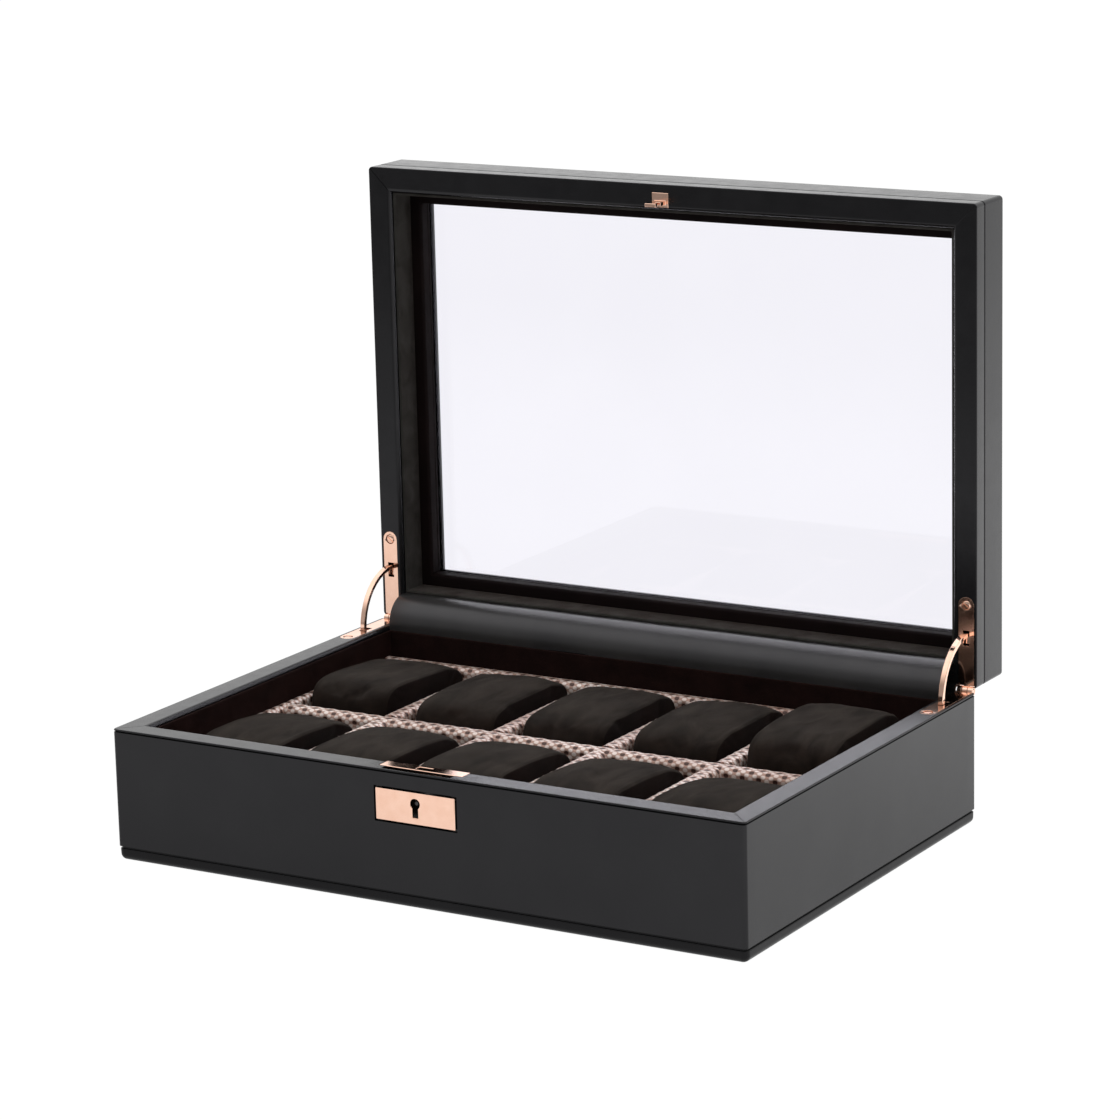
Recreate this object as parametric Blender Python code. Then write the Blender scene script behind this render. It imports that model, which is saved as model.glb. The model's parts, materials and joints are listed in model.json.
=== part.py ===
"""Watch box with a glazed lid, a key lock and ten lift-out cushions, built piece by piece.

Metres, +Z up, centred on X = 0 and Y = 0. The front faces -Y and the hinges are at the back.
The lid is drawn closed under its pivot and then turned open, which is how the box rests.
"""

import math

import bmesh
import bpy

# Whole box
WIDTH = 0.335
DEPTH = 0.232
BASE_HEIGHT = 0.0644
LID_DEPTH = 0.030
WALL = 0.0125
GAP = 0.0003
CLOSED_GAP = 0.0004
MITRE_SETBACK = 0.00022
OPEN_ANGLE = math.radians(90)

# Bottom
FELT_THICKNESS = 0.0010
FELT_MARGIN = 0.014
BOARD_LIFT = 0.0004
PLINTH_TOP = 0.0054
PLINTH_ROUND = 0.0024
PLINTH_CORNER = 0.0024
GROOVE_DEPTH = 0.0011
WALL_BOTTOM = 0.0065
FLOOR_THICKNESS = 0.0040

# Leather-covered walls and lid rails
OUTER_ROUND = 0.0010
INNER_ROUND = 0.0022
LID_TOP_ROUND = 0.0020
LID_GROOVE_HEIGHT = 0.0087
LID_GROOVE = 0.0008

# Linings
LINING = 0.0012
LINING_DROP = 0.0022

# Lid window
WINDOW_INSET = 0.020
BEAD_START = 0.0164
GLASS_START = 0.0247
GLASS_THICKNESS = 0.0022
LIP_START = 0.0272
BEAD_ROUND = 0.0015

# Tray
COLUMNS = 5
ROWS = 2
WELL_PITCH = 0.0607
STRIP_WIDTH = 0.0090
STRIP_TOP = 0.0497
STRIP_ROUND = 0.0030
WELL_OUTER_Y = 0.0940
HALF_LAP_HEIGHT = 0.0300

# Cushions
CUSHION_LENGTH = 0.0455
CUSHION_HALF_DEPTH = 0.0385
CUSHION_SHIFT = -0.0011
CUSHION_Y = 0.0500
CUSHION_POWER = 2.6
CUSHION_STEPS = 24
# Along the cushion: (share of its half length, height of its top, share of its depth)
CUSHION_STATIONS = (
    (-1.00, 0.0515, 0.92),
    (-0.93, 0.0545, 0.97),
    (-0.75, 0.0570, 0.99),
    (-0.40, 0.0594, 1.00),
    (0.00, 0.0602, 1.00),
    (0.40, 0.0594, 1.00),
    (0.75, 0.0570, 0.99),
    (0.93, 0.0545, 0.97),
    (1.00, 0.0515, 0.92),
)

# Quadrant hinges, measured from the axis at the rear top edge
AXIS_SETBACK = 0.0010
AXIS_Y = DEPTH / 2 + AXIS_SETBACK
AXIS_Z = BASE_HEIGHT + CLOSED_GAP / 2
LEAF_INSET = 0.0055
LEAF_WIDTH = 0.0080
LEAF_LENGTH = 0.0455
LEAF_THICKNESS = 0.0015
BARREL_RADIUS = 0.0020
BARREL_HALF_MIDDLE = 0.0012
PIN_RADIUS = 0.0008
ARM_RADIUS = 0.0272
ARM_HALF_DEPTH = 0.0011
ARM_THICKNESS = 0.0026
ARM_OVERRUN = math.radians(9)
LUG_SPAN = math.radians(3)
LUG_INNER = 0.0223
SLOT_INNER = 0.0217
SLOT_OUTER = 0.0292
SLOT_WIDTH = 0.0034
MORTISE_SWEEP = math.radians(58)
SCREW_HEAD_RADIUS = 0.0022
SCREW_HEAD = 0.0008
SCREW_RADIUS = 0.0010
SCREW_LENGTH = 0.0080

# Lock
PLATE_WIDTH = 0.0420
PLATE_BOTTOM = 0.0406
PLATE_TOP = 0.0554
PLATE_THICKNESS = 0.0012
PLATE_PROUD = 0.0003
KEYHOLE_Z = 0.0501
KEYHOLE_RADIUS = 0.0025
KEYHOLE_SLOT = 0.0030
KEYHOLE_BOTTOM = 0.0436
SELVEDGE_WIDTH = 0.0440
SELVEDGE_INNER = 0.0122
SELVEDGE_OUTER = 0.0054
SELVEDGE_THICKNESS = 0.0015
CASE_WIDTH = 0.0360
CASE_OUTER = 0.0059
CASE_INNER = 0.0117
CASE_BOTTOM = 0.0380
CASE_WALL = 0.0008
BLADE_INSET = 0.0088
BLADE_THICKNESS = 0.0018
BLADE_HALF_WIDTH = 0.0030
BLADE_LENGTH = 0.0095
NOTCH_TOP = 0.0045
NOTCH_BOTTOM = 0.0075
NOTCH_DEPTH = 0.0026
CATCH_WIDTH = 0.0090
CATCH_DEPTH = 0.0072
CATCH_INSET = 0.0076
CATCH_THICKNESS = 0.0012
BOLT_LENGTH = 0.0120
BOLT_TAIL_DROP = 0.0160
BOLT_CLEARANCE = 0.0004
KEY_POST_RADIUS = 0.0009

RIM = BASE_HEIGHT + CLOSED_GAP
LID_TOP = RIM + LID_DEPTH
FLOOR_TOP = WALL_BOTTOM + FLOOR_THICKNESS
ROUND_STEPS = 4
CIRCLE_STEPS = 24
CURVE_STEP = math.radians(9)

# name: (red, green, blue, roughness, metallic, alpha)
COLOURS = {
    "leather": (0.025, 0.025, 0.027, 0.45, 0.0, 1.0),
    "velvet": (0.014, 0.007, 0.006, 0.95, 0.0, 1.0),
    "suede": (0.035, 0.033, 0.030, 0.95, 0.0, 1.0),
    "pattern_fabric": (0.36, 0.22, 0.17, 0.55, 0.0, 1.0),
    "rose_gold": (0.93, 0.62, 0.50, 0.22, 1.0, 1.0),
    "steel": (0.55, 0.55, 0.56, 0.35, 1.0, 1.0),
    "felt": (0.02, 0.02, 0.02, 0.95, 0.0, 1.0),
    "glass": (0.93, 0.93, 0.96, 0.02, 0.0, 0.35),
}


def clear_scene():
    for item in list(bpy.data.objects):
        bpy.data.objects.remove(item, do_unlink=True)


def make_material(node_name, kind):
    red, green, blue, roughness, metallic, alpha = COLOURS[kind]
    material = bpy.data.materials.new(f"{node_name}_{kind}")
    material.use_nodes = True
    shader = material.node_tree.nodes["Principled BSDF"]
    shader.inputs["Base Color"].default_value = (red, green, blue, 1.0)
    shader.inputs["Roughness"].default_value = roughness
    shader.inputs["Metallic"].default_value = metallic
    shader.inputs["Alpha"].default_value = alpha
    material.diffuse_color = (red, green, blue, alpha)
    return material


def add_object(name, shape, kind, smooth=False):
    """Turns a bmesh into a scene object with its own material."""
    bmesh.ops.recalc_face_normals(shape, faces=shape.faces)
    mesh = bpy.data.meshes.new(name)
    shape.to_mesh(mesh)
    shape.free()
    for face in mesh.polygons:
        face.use_smooth = smooth
    item = bpy.data.objects.new(name, mesh)
    bpy.context.collection.objects.link(item)
    if kind:
        mesh.materials.append(make_material(name, kind))
    return item


def add_cutter(name, shape):
    item = add_object(name, shape, None)
    item.hide_render = True
    item.display_type = "WIRE"
    return item


def combine(item, other, operation):
    step = item.modifiers.new(f"{operation}_{other.name}", "BOOLEAN")
    step.operation = operation
    step.object = other
    step.solver = "EXACT"


def cut(item, *cutters):
    for cutter in cutters:
        combine(item, cutter, "DIFFERENCE")


def loft(rings):
    """Joins rings of points with side faces and closes both ends."""
    shape = bmesh.new()
    rows = [[shape.verts.new(point) for point in ring] for ring in rings]
    count = len(rows[0])
    for near, far in zip(rows, rows[1:]):
        for i in range(count):
            j = (i + 1) % count
            shape.faces.new((near[i], near[j], far[j], far[i]))
    shape.faces.new(rows[0])
    shape.faces.new(rows[-1])
    return shape


def prism_x(outline, start, end):
    """An outline of (y, z) points carried along X."""
    return loft([[(x, y, z) for y, z in outline] for x in (start, end)])


def prism_y(outline, start, end):
    """An outline of (x, z) points carried along Y."""
    return loft([[(x, y, z) for x, z in outline] for y in (start, end)])


def prism_z(outline, start, end):
    """An outline of (x, y) points carried along Z."""
    return loft([[(x, y, z) for x, y in outline] for z in (start, end)])


def block(low, high):
    (x0, y0, z0), (x1, y1, z1) = low, high
    return prism_z([(x0, y0), (x1, y0), (x1, y1), (x0, y1)], z0, z1)


def arc(centre, radius, start, end, steps):
    return [
        (
            centre[0] + radius * math.cos(start + (end - start) * i / steps),
            centre[1] + radius * math.sin(start + (end - start) * i / steps),
        )
        for i in range(steps + 1)
    ]


def circle(centre, radius):
    points = arc(centre, radius, 0, math.tau, CIRCLE_STEPS)
    return points[:-1]


def rounded_section(low, high, rounds):
    """A rectangle with its four corners rounded, in the order low-left, low-right, high-right, high-left."""
    (a0, b0), (a1, b1) = low, high
    corners = [(a0, b0, 1, 1), (a1, b0, -1, 1), (a1, b1, -1, -1), (a0, b1, 1, -1)]
    points = []
    for index, ((a, b, into_a, into_b), radius) in enumerate(zip(corners, rounds)):
        if radius == 0:
            points.append((a, b))
            continue
        centre = (a + into_a * radius, b + into_b * radius)
        start = math.pi + index * math.pi / 2
        points += arc(centre, radius, start, start + math.pi / 2, ROUND_STEPS)
    return points


def side_point(side, along, inset, height):
    """A point on one side of the box, given along that side, inwards from its outer face, and up."""
    places = {
        "front": (along, inset - DEPTH / 2, height),
        "right": (WIDTH / 2 - inset, along, height),
        "back": (-along, DEPTH / 2 - inset, height),
        "left": (inset - WIDTH / 2, -along, height),
    }
    return places[side]


def mitred_side(name, side, section, kind):
    """A bar along one side of the box with its ends cut at 45 degrees; section is (inset, height)."""
    half = (WIDTH if side in ("front", "back") else DEPTH) / 2 - MITRE_SETBACK
    rings = [
        [side_point(side, end * (half - inset), inset, height) for inset, height in section]
        for end in (-1, 1)
    ]
    return add_object(name, loft(rings), kind)


def four_sides(pattern, section, kind):
    return {
        side: mitred_side(pattern.format(side), side, section, kind)
        for side in ("front", "right", "back", "left")
    }


def hinge_x(side):
    distance = WIDTH / 2 - LEAF_INSET
    return -distance if side == "left" else distance


def sector(side, inner, outer, start, end, thickness):
    """A curved strap around the hinge axis; angles rise from the front towards the top."""
    steps = max(2, round(abs(end - start) / CURVE_STEP))
    outline = arc((0, 0), outer, start, end, steps) + arc((0, 0), inner, end, start, steps)
    x = hinge_x(side)
    points = [(AXIS_Y - a, AXIS_Z + b) for a, b in outline]
    return prism_x(points, x - thickness / 2, x + thickness / 2)


def axis_cylinder(centre_x, half_length, radius):
    return prism_x(circle((AXIS_Y, AXIS_Z), radius), centre_x - half_length, centre_x + half_length)


def rounded_rectangle(inset, height):
    """A ring of points around the box at one height, its corners rounded like the plinth's."""
    half_x = WIDTH / 2 - inset
    half_y = DEPTH / 2 - inset
    corners = rounded_section((-half_x, -half_y), (half_x, half_y), [PLINTH_CORNER] * 4)
    return [(x, y, height) for x, y in corners]


def make_bottom():
    edge = FELT_MARGIN
    add_object(
        "felt_pad",
        block((edge - WIDTH / 2, edge - DEPTH / 2, 0), (WIDTH / 2 - edge, DEPTH / 2 - edge, FELT_THICKNESS)),
        "felt",
    )
    rings = []
    for step in range(ROUND_STEPS + 1):
        angle = math.pi / 2 * step / ROUND_STEPS
        inset = PLINTH_ROUND * (1 - math.sin(angle))
        rings.append(rounded_rectangle(inset, BOARD_LIFT + PLINTH_ROUND * (1 - math.cos(angle))))
    rings.append(rounded_rectangle(0, PLINTH_TOP))
    rings.append(rounded_rectangle(GROOVE_DEPTH, PLINTH_TOP))
    rings.append(rounded_rectangle(GROOVE_DEPTH, WALL_BOTTOM - GAP))
    board = add_object("bottom_board", loft(rings), "leather")
    pocket_edge = edge - GAP
    pocket = add_cutter(
        "felt_pocket",
        block(
            (pocket_edge - WIDTH / 2, pocket_edge - DEPTH / 2, -BOARD_LIFT),
            (WIDTH / 2 - pocket_edge, DEPTH / 2 - pocket_edge, FELT_THICKNESS + GAP),
        ),
    )
    cut(board, pocket)


def make_base_walls():
    section = rounded_section(
        (0, WALL_BOTTOM), (WALL, BASE_HEIGHT), (0, 0, INNER_ROUND, OUTER_ROUND)
    )
    return four_sides("base_{}_panel", section, "leather")


def make_base_linings():
    start = WALL + GAP
    section = [
        (start, FLOOR_TOP + GAP),
        (start + LINING, FLOOR_TOP + GAP),
        (start + LINING, BASE_HEIGHT - LINING_DROP),
        (start, BASE_HEIGHT - LINING_DROP),
    ]
    four_sides("base_{}_lining", section, "velvet")


def make_tray():
    """The velvet floor and the fabric-wrapped strips that part it into ten wells."""
    inner = WALL + GAP
    add_object(
        "tray_floor",
        block(
            (inner - WIDTH / 2, inner - DEPTH / 2, WALL_BOTTOM),
            (WIDTH / 2 - inner, DEPTH / 2 - inner, FLOOR_TOP),
        ),
        "velvet",
    )
    low = FLOOR_TOP + GAP
    tops = (0, 0, STRIP_ROUND, STRIP_ROUND)
    well_outer_x = COLUMNS * WELL_PITCH / 2 - STRIP_WIDTH / 2
    border = WALL + LINING + 2 * GAP
    # The side borders stand between the front and back ones.
    border_shapes = {
        "front": (DEPTH / 2 - WELL_OUTER_Y, WIDTH / 2 - border),
        "back": (DEPTH / 2 - WELL_OUTER_Y, WIDTH / 2 - border),
        "left": (WIDTH / 2 - well_outer_x, WELL_OUTER_Y - GAP),
        "right": (WIDTH / 2 - well_outer_x, WELL_OUTER_Y - GAP),
    }
    for side, (inner_edge, half) in border_shapes.items():
        section = rounded_section((border, low), (inner_edge, STRIP_TOP), tops)
        rings = [[side_point(side, end * half, inset, z) for inset, z in section] for end in (-1, 1)]
        add_object(f"tray_{side}_border", loft(rings), "pattern_fabric")

    strip = rounded_section((-STRIP_WIDTH / 2, low), (STRIP_WIDTH / 2, STRIP_TOP), tops)
    centre = add_object(
        "tray_centre_divider",
        prism_x(strip, GAP - well_outer_x, well_outer_x - GAP),
        "pattern_fabric",
    )
    clear = STRIP_WIDTH / 2 + GAP
    lap = GAP / 2
    for number in range(1, COLUMNS):
        x = WELL_PITCH * (number - COLUMNS / 2)
        divider = add_object(
            f"tray_cross_divider_{number}",
            prism_y([(x + a, b) for a, b in strip], GAP - WELL_OUTER_Y, WELL_OUTER_Y - GAP),
            "pattern_fabric",
        )
        upper_notch = add_cutter(
            f"upper_notch_{number}",
            block((x - clear, -STRIP_WIDTH, HALF_LAP_HEIGHT - lap), (x + clear, STRIP_WIDTH, BASE_HEIGHT)),
        )
        lower_notch = add_cutter(
            f"lower_notch_{number}",
            block((x - STRIP_WIDTH, -clear, 0), (x + STRIP_WIDTH, clear, HALF_LAP_HEIGHT + lap)),
        )
        cut(centre, upper_notch)
        cut(divider, lower_notch)


def cushion_outline(x, centre_y, top, depth_share):
    """A soft oval, squarer than an ellipse, standing on the tray floor at one place along the cushion."""
    low = FLOOR_TOP + GAP
    half_height = (top - low) / 2
    points = []
    for i in range(CUSHION_STEPS):
        angle = math.tau * i / CUSHION_STEPS
        across = math.cos(angle)
        up = math.sin(angle)
        y = math.copysign(abs(across) ** (2 / CUSHION_POWER), across) * CUSHION_HALF_DEPTH * depth_share
        z = math.copysign(abs(up) ** (2 / CUSHION_POWER), up) * half_height
        points.append((x, centre_y + y, low + half_height + z))
    return points


def make_cushions():
    for row in range(ROWS):
        centre_y = CUSHION_Y * (2 * row - 1)
        for column in range(COLUMNS):
            centre_x = WELL_PITCH * (column - (COLUMNS - 1) / 2) + CUSHION_SHIFT
            rings = [
                cushion_outline(centre_x + share * CUSHION_LENGTH / 2, centre_y, top, depth_share)
                for share, top, depth_share in CUSHION_STATIONS
            ]
            add_object(f"watch_cushion_{row * COLUMNS + column + 1}", loft(rings), "suede", smooth=True)


def keyhole_outline():
    slot_half = KEYHOLE_SLOT / 2
    side = math.asin(slot_half / KEYHOLE_RADIUS)
    start = -math.pi / 2 + side
    round_part = arc((0, KEYHOLE_Z), KEYHOLE_RADIUS, start, start + math.tau - 2 * side, CIRCLE_STEPS)
    return round_part + [(-slot_half, KEYHOLE_BOTTOM), (slot_half, KEYHOLE_BOTTOM)]


def make_lock(front_panel):
    face = -DEPTH / 2
    plate = add_object(
        "keyhole_plate",
        block(
            (-PLATE_WIDTH / 2, face - PLATE_PROUD, PLATE_BOTTOM),
            (PLATE_WIDTH / 2, face - PLATE_PROUD + PLATE_THICKNESS, PLATE_TOP),
        ),
        "rose_gold",
    )
    keyway = add_cutter(
        "keyway", prism_y(keyhole_outline(), face - 2 * PLATE_PROUD, face + BLADE_INSET)
    )
    plate_seat = add_cutter(
        "plate_seat",
        block(
            (-PLATE_WIDTH / 2 - GAP, face - PLATE_PROUD, PLATE_BOTTOM - GAP),
            (PLATE_WIDTH / 2 + GAP, face - PLATE_PROUD + PLATE_THICKNESS + GAP, PLATE_TOP + GAP),
        ),
    )
    cut(plate, keyway)

    selvedge_low = BASE_HEIGHT - SELVEDGE_THICKNESS
    selvedge = add_object(
        "lock_plate",
        block(
            (-SELVEDGE_WIDTH / 2, face + SELVEDGE_OUTER, selvedge_low),
            (SELVEDGE_WIDTH / 2, face + SELVEDGE_INNER, BASE_HEIGHT),
        ),
        "rose_gold",
    )
    selvedge_seat = add_cutter(
        "selvedge_seat",
        block(
            (-SELVEDGE_WIDTH / 2 - GAP, face + SELVEDGE_OUTER - GAP, selvedge_low - GAP),
            (SELVEDGE_WIDTH / 2 + GAP, face + WALL + GAP, BASE_HEIGHT + GAP),
        ),
    )
    blade_half = BLADE_THICKNESS / 2 + GAP
    entry = add_cutter(
        "blade_entry",
        block(
            (-BLADE_HALF_WIDTH - 2 * GAP, face + BLADE_INSET - blade_half - GAP, CASE_BOTTOM + CASE_WALL),
            (BLADE_HALF_WIDTH + 2 * GAP, face + BLADE_INSET + blade_half + GAP, BASE_HEIGHT + GAP),
        ),
    )
    cut(selvedge, entry)

    case_top = selvedge_low - GAP
    case = add_object(
        "lock_case",
        block(
            (-CASE_WIDTH / 2, face + CASE_OUTER, CASE_BOTTOM),
            (CASE_WIDTH / 2, face + CASE_INNER, case_top),
        ),
        "steel",
    )
    case_room = add_cutter(
        "case_room",
        block(
            (CASE_WALL - CASE_WIDTH / 2, face + CASE_OUTER + CASE_WALL, CASE_BOTTOM + CASE_WALL),
            (CASE_WIDTH / 2 - CASE_WALL, face + CASE_INNER - CASE_WALL, BASE_HEIGHT),
        ),
    )
    case_seat = add_cutter(
        "case_seat",
        block(
            (-CASE_WIDTH / 2 - GAP, face + CASE_OUTER - GAP, CASE_BOTTOM - GAP),
            (CASE_WIDTH / 2 + GAP, face + WALL + GAP, BASE_HEIGHT),
        ),
    )
    # The key turns on a post that is riveted into the back of the case.
    key_post = add_cutter(
        "key_post",
        prism_y(
            circle((0, KEYHOLE_Z), KEY_POST_RADIUS),
            face + PLATE_THICKNESS,
            face + CASE_INNER - CASE_WALL / 2,
        ),
    )
    cut(case, case_room, keyway)
    combine(case, key_post, "UNION")
    cut(front_panel, plate_seat, selvedge_seat, case_seat, keyway)

    bolt_left = BLADE_HALF_WIDTH + 2 * BOLT_CLEARANCE
    bolt_right = bolt_left + BOLT_LENGTH
    bolt_top = BASE_HEIGHT - NOTCH_TOP - BOLT_CLEARANCE
    bolt_under = BASE_HEIGHT - NOTCH_BOTTOM + BOLT_CLEARANCE
    bolt_low = bolt_top - BOLT_TAIL_DROP
    tail_left = bolt_left + BLADE_HALF_WIDTH
    add_object(
        "lock_bolt",
        prism_y(
            [
                (bolt_left, bolt_under),
                (tail_left, bolt_under),
                (tail_left, bolt_low),
                (bolt_right, bolt_low),
                (bolt_right, bolt_top),
                (bolt_left, bolt_top),
            ],
            face + BLADE_INSET - BLADE_THICKNESS / 2,
            face + BLADE_INSET + BLADE_THICKNESS / 2,
        ),
        "steel",
    )


def leaf_outline(x):
    half = LEAF_WIDTH / 2
    end = AXIS_Y - LEAF_LENGTH + half
    return [(x + half, AXIS_Y), (x - half, AXIS_Y)] + arc((x, end), half, math.pi, math.tau, ROUND_STEPS * 2)


def turned(x, y, stations):
    """A round piece standing along Z, from its (radius, height) stations."""
    return loft([[(a, b, z) for a, b in circle((x, y), radius)] for radius, z in stations])


def fit_screw(name, x, face_z, into, leaf, wood):
    """A countersunk screw in the end of a leaf; into is +1 or -1, the way it points along Z."""
    y = AXIS_Y - LEAF_LENGTH + LEAF_WIDTH / 2
    under_head = face_z + into * LEAF_THICKNESS
    screw = add_object(
        name,
        turned(
            x,
            y,
            [
                (SCREW_HEAD_RADIUS, face_z + into * GAP),
                (SCREW_HEAD_RADIUS, face_z + into * SCREW_HEAD),
                (SCREW_RADIUS, under_head),
                (SCREW_RADIUS, face_z + into * SCREW_LENGTH),
            ],
        ),
        "rose_gold",
    )
    countersink = add_cutter(
        f"{name}_countersink",
        turned(
            x,
            y,
            [
                (SCREW_HEAD_RADIUS + GAP, face_z - into * GAP),
                (SCREW_HEAD_RADIUS + GAP, face_z + into * (SCREW_HEAD + GAP)),
                (SCREW_RADIUS + GAP, under_head + into * GAP),
                (SCREW_RADIUS + GAP, face_z + into * (SCREW_LENGTH + GAP)),
            ],
        ),
    )
    cut(leaf, countersink)
    cut(wood, countersink)
    return screw


def make_leaf(kind, side, low, high):
    """One flat leaf with the slot that the curved arm passes through."""
    x = hinge_x(side)
    leaf = add_object(f"hinge_{kind}_leaf_{side}", prism_z(leaf_outline(x), low, high), "rose_gold")
    slot = add_cutter(
        f"{kind}_arm_slot_{side}",
        block(
            (x - SLOT_WIDTH / 2, AXIS_Y - SLOT_OUTER, low - GAP),
            (x + SLOT_WIDTH / 2, AXIS_Y - SLOT_INNER, high + GAP),
        ),
    )
    cut(leaf, slot)
    return leaf


def make_arm(side):
    """The curved arm, with a stop lug at each end that catches under the leaf."""
    last = math.pi / 2 + ARM_OVERRUN
    inner = ARM_RADIUS - ARM_HALF_DEPTH
    arm = add_object(
        f"quadrant_arm_{side}",
        sector(side, inner, ARM_RADIUS + ARM_HALF_DEPTH, -ARM_OVERRUN, last, ARM_THICKNESS),
        "rose_gold",
    )
    for number, start in enumerate((-ARM_OVERRUN, last - LUG_SPAN), start=1):
        lug = add_cutter(
            f"arm_lug_{side}_{number}",
            sector(side, LUG_INNER, ARM_RADIUS, start, start + LUG_SPAN, ARM_THICKNESS),
        )
        combine(arm, lug, "UNION")
    return arm


def make_hinge(side, base_walls, lid_rails):
    """One quadrant hinge and the seats cut for it; returns what turns with the lid."""
    x = hinge_x(side)
    half = LEAF_WIDTH / 2
    pin_hole = add_cutter(f"pin_hole_{side}", axis_cylinder(x, LEAF_WIDTH, PIN_RADIUS + GAP))

    base_leaf = make_leaf("base", side, BASE_HEIGHT - LEAF_THICKNESS, BASE_HEIGHT)
    base_barrel = add_cutter(f"base_barrel_{side}", axis_cylinder(x, half, BARREL_RADIUS))
    middle_room = add_cutter(
        f"middle_room_{side}", axis_cylinder(x, BARREL_HALF_MIDDLE + GAP, BARREL_RADIUS + GAP)
    )
    combine(base_leaf, base_barrel, "UNION")
    cut(base_leaf, middle_room, pin_hole)

    lid_leaf = make_leaf("lid", side, RIM, RIM + LEAF_THICKNESS)
    reach = (half - BARREL_HALF_MIDDLE) / 2 + GAP
    for end in (-1, 1):
        outer_room = add_cutter(
            f"outer_room_{side}_{end + 2}",
            axis_cylinder(x + end * (BARREL_HALF_MIDDLE + reach), reach, BARREL_RADIUS + GAP),
        )
        cut(lid_leaf, outer_room)
    lid_barrel = add_cutter(f"lid_barrel_{side}", axis_cylinder(x, BARREL_HALF_MIDDLE, BARREL_RADIUS))
    combine(lid_leaf, lid_barrel, "UNION")
    cut(lid_leaf, pin_hole)

    add_object(f"hinge_pin_{side}", axis_cylinder(x, half, PIN_RADIUS), "rose_gold")
    cut_hinge_seats(side, base_walls, lid_rails)
    fit_screw(f"hinge_base_screw_{side}", x, BASE_HEIGHT, -1, base_leaf, base_walls[side])
    lid_screw = fit_screw(f"hinge_lid_screw_{side}", x, RIM, 1, lid_leaf, lid_rails[side])
    hang_on_pivot(f"quadrant_pivot_{side}", [make_arm(side)])
    return [lid_leaf, lid_screw]


def cut_hinge_seats(side, base_walls, lid_rails):
    x = hinge_x(side)
    half = LEAF_WIDTH / 2 + GAP
    depth = LEAF_THICKNESS + GAP
    front = AXIS_Y - LEAF_LENGTH - GAP
    base_seat = add_cutter(
        f"base_leaf_seat_{side}",
        block((x - half, front, BASE_HEIGHT - depth), (x + half, AXIS_Y, RIM)),
    )
    lid_seat = add_cutter(
        f"lid_leaf_seat_{side}",
        block((x - half, front, BASE_HEIGHT), (x + half, AXIS_Y, RIM + depth)),
    )
    barrel_room = add_cutter(f"barrel_room_{side}", axis_cylinder(x, half, BARREL_RADIUS + 2 * GAP))
    base_mortise = add_cutter(
        f"base_mortise_{side}",
        sector(side, SLOT_INNER, SLOT_OUTER, -MORTISE_SWEEP, 0, SLOT_WIDTH),
    )
    lid_mortise = add_cutter(
        f"lid_mortise_{side}",
        sector(side, SLOT_INNER, SLOT_OUTER, 0, MORTISE_SWEEP, SLOT_WIDTH),
    )
    cut(base_walls[side], base_seat, barrel_room, base_mortise)
    cut(base_walls["back"], base_seat, barrel_room)
    cut(lid_rails[side], lid_seat, barrel_room, lid_mortise)
    cut(lid_rails["back"], lid_seat, barrel_room)


def make_lid_rails():
    groove = RIM + LID_GROOVE_HEIGHT
    section = (
        arc((OUTER_ROUND, RIM + OUTER_ROUND), OUTER_ROUND, math.pi, math.pi * 1.5, ROUND_STEPS)
        + arc((WALL - INNER_ROUND, RIM + INNER_ROUND), INNER_ROUND, -math.pi / 2, 0, ROUND_STEPS)
        + [
            (WALL, RIM + LIP_START),
            (WINDOW_INSET, RIM + LIP_START),
            (WINDOW_INSET, LID_TOP),
        ]
        + arc(
            (LID_TOP_ROUND, LID_TOP - LID_TOP_ROUND),
            LID_TOP_ROUND,
            math.pi / 2,
            math.pi,
            ROUND_STEPS,
        )
        + [(0, groove + LID_GROOVE), (LID_GROOVE, groove), (0, groove - LID_GROOVE)]
    )
    return four_sides("lid_{}_rail", section, "leather")


def make_lid_inside():
    start = WALL + GAP
    lining = [
        (start, RIM + LINING_DROP),
        (start + LINING, RIM + LINING_DROP),
        (start + LINING, RIM + BEAD_START - GAP),
        (start, RIM + BEAD_START - GAP),
    ]
    pieces = list(four_sides("lid_{}_lining", lining, "velvet").values())
    bead = rounded_section(
        (start, RIM + BEAD_START),
        (WINDOW_INSET, RIM + GLASS_START - GAP),
        (0, BEAD_ROUND, 0, 0),
    )
    pieces += four_sides("glass_bead_{}", bead, "leather").values()
    pieces.append(
        add_object(
            "glass_pane",
            block(
                (start - WIDTH / 2, start - DEPTH / 2, RIM + GLASS_START),
                (WIDTH / 2 - start, DEPTH / 2 - start, RIM + GLASS_START + GLASS_THICKNESS),
            ),
            "glass",
        )
    )
    return pieces


def make_catch(front_rail):
    """The small plate on the lid's front rail and the notched blade that drops into the lock."""
    face = -DEPTH / 2
    low = (-CATCH_WIDTH / 2, face + CATCH_INSET - CATCH_DEPTH / 2, RIM)
    high = (CATCH_WIDTH / 2, face + CATCH_INSET + CATCH_DEPTH / 2, RIM + CATCH_THICKNESS)
    catch = add_object("lid_catch", block(low, high), "rose_gold")
    seat_low = [value - GAP for value in low]
    seat_high = [value + GAP for value in high]
    seat = add_cutter("catch_seat", block(seat_low, seat_high))
    cut(front_rail, seat)

    edge = BLADE_HALF_WIDTH
    notch_x = edge - NOTCH_DEPTH
    blade_low = BASE_HEIGHT - BLADE_LENGTH
    outline = [
        (-edge, RIM + GAP),
        (-edge, blade_low),
        (edge, blade_low),
        (edge, BASE_HEIGHT - NOTCH_BOTTOM),
        (notch_x, BASE_HEIGHT - NOTCH_BOTTOM),
        (notch_x, BASE_HEIGHT - NOTCH_TOP),
        (edge, BASE_HEIGHT - NOTCH_TOP),
        (edge, RIM + GAP),
    ]
    blade_y = face + BLADE_INSET
    blade = add_cutter(
        "catch_blade",
        prism_y(outline, blade_y - BLADE_THICKNESS / 2, blade_y + BLADE_THICKNESS / 2),
    )
    combine(catch, blade, "UNION")
    return catch


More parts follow.
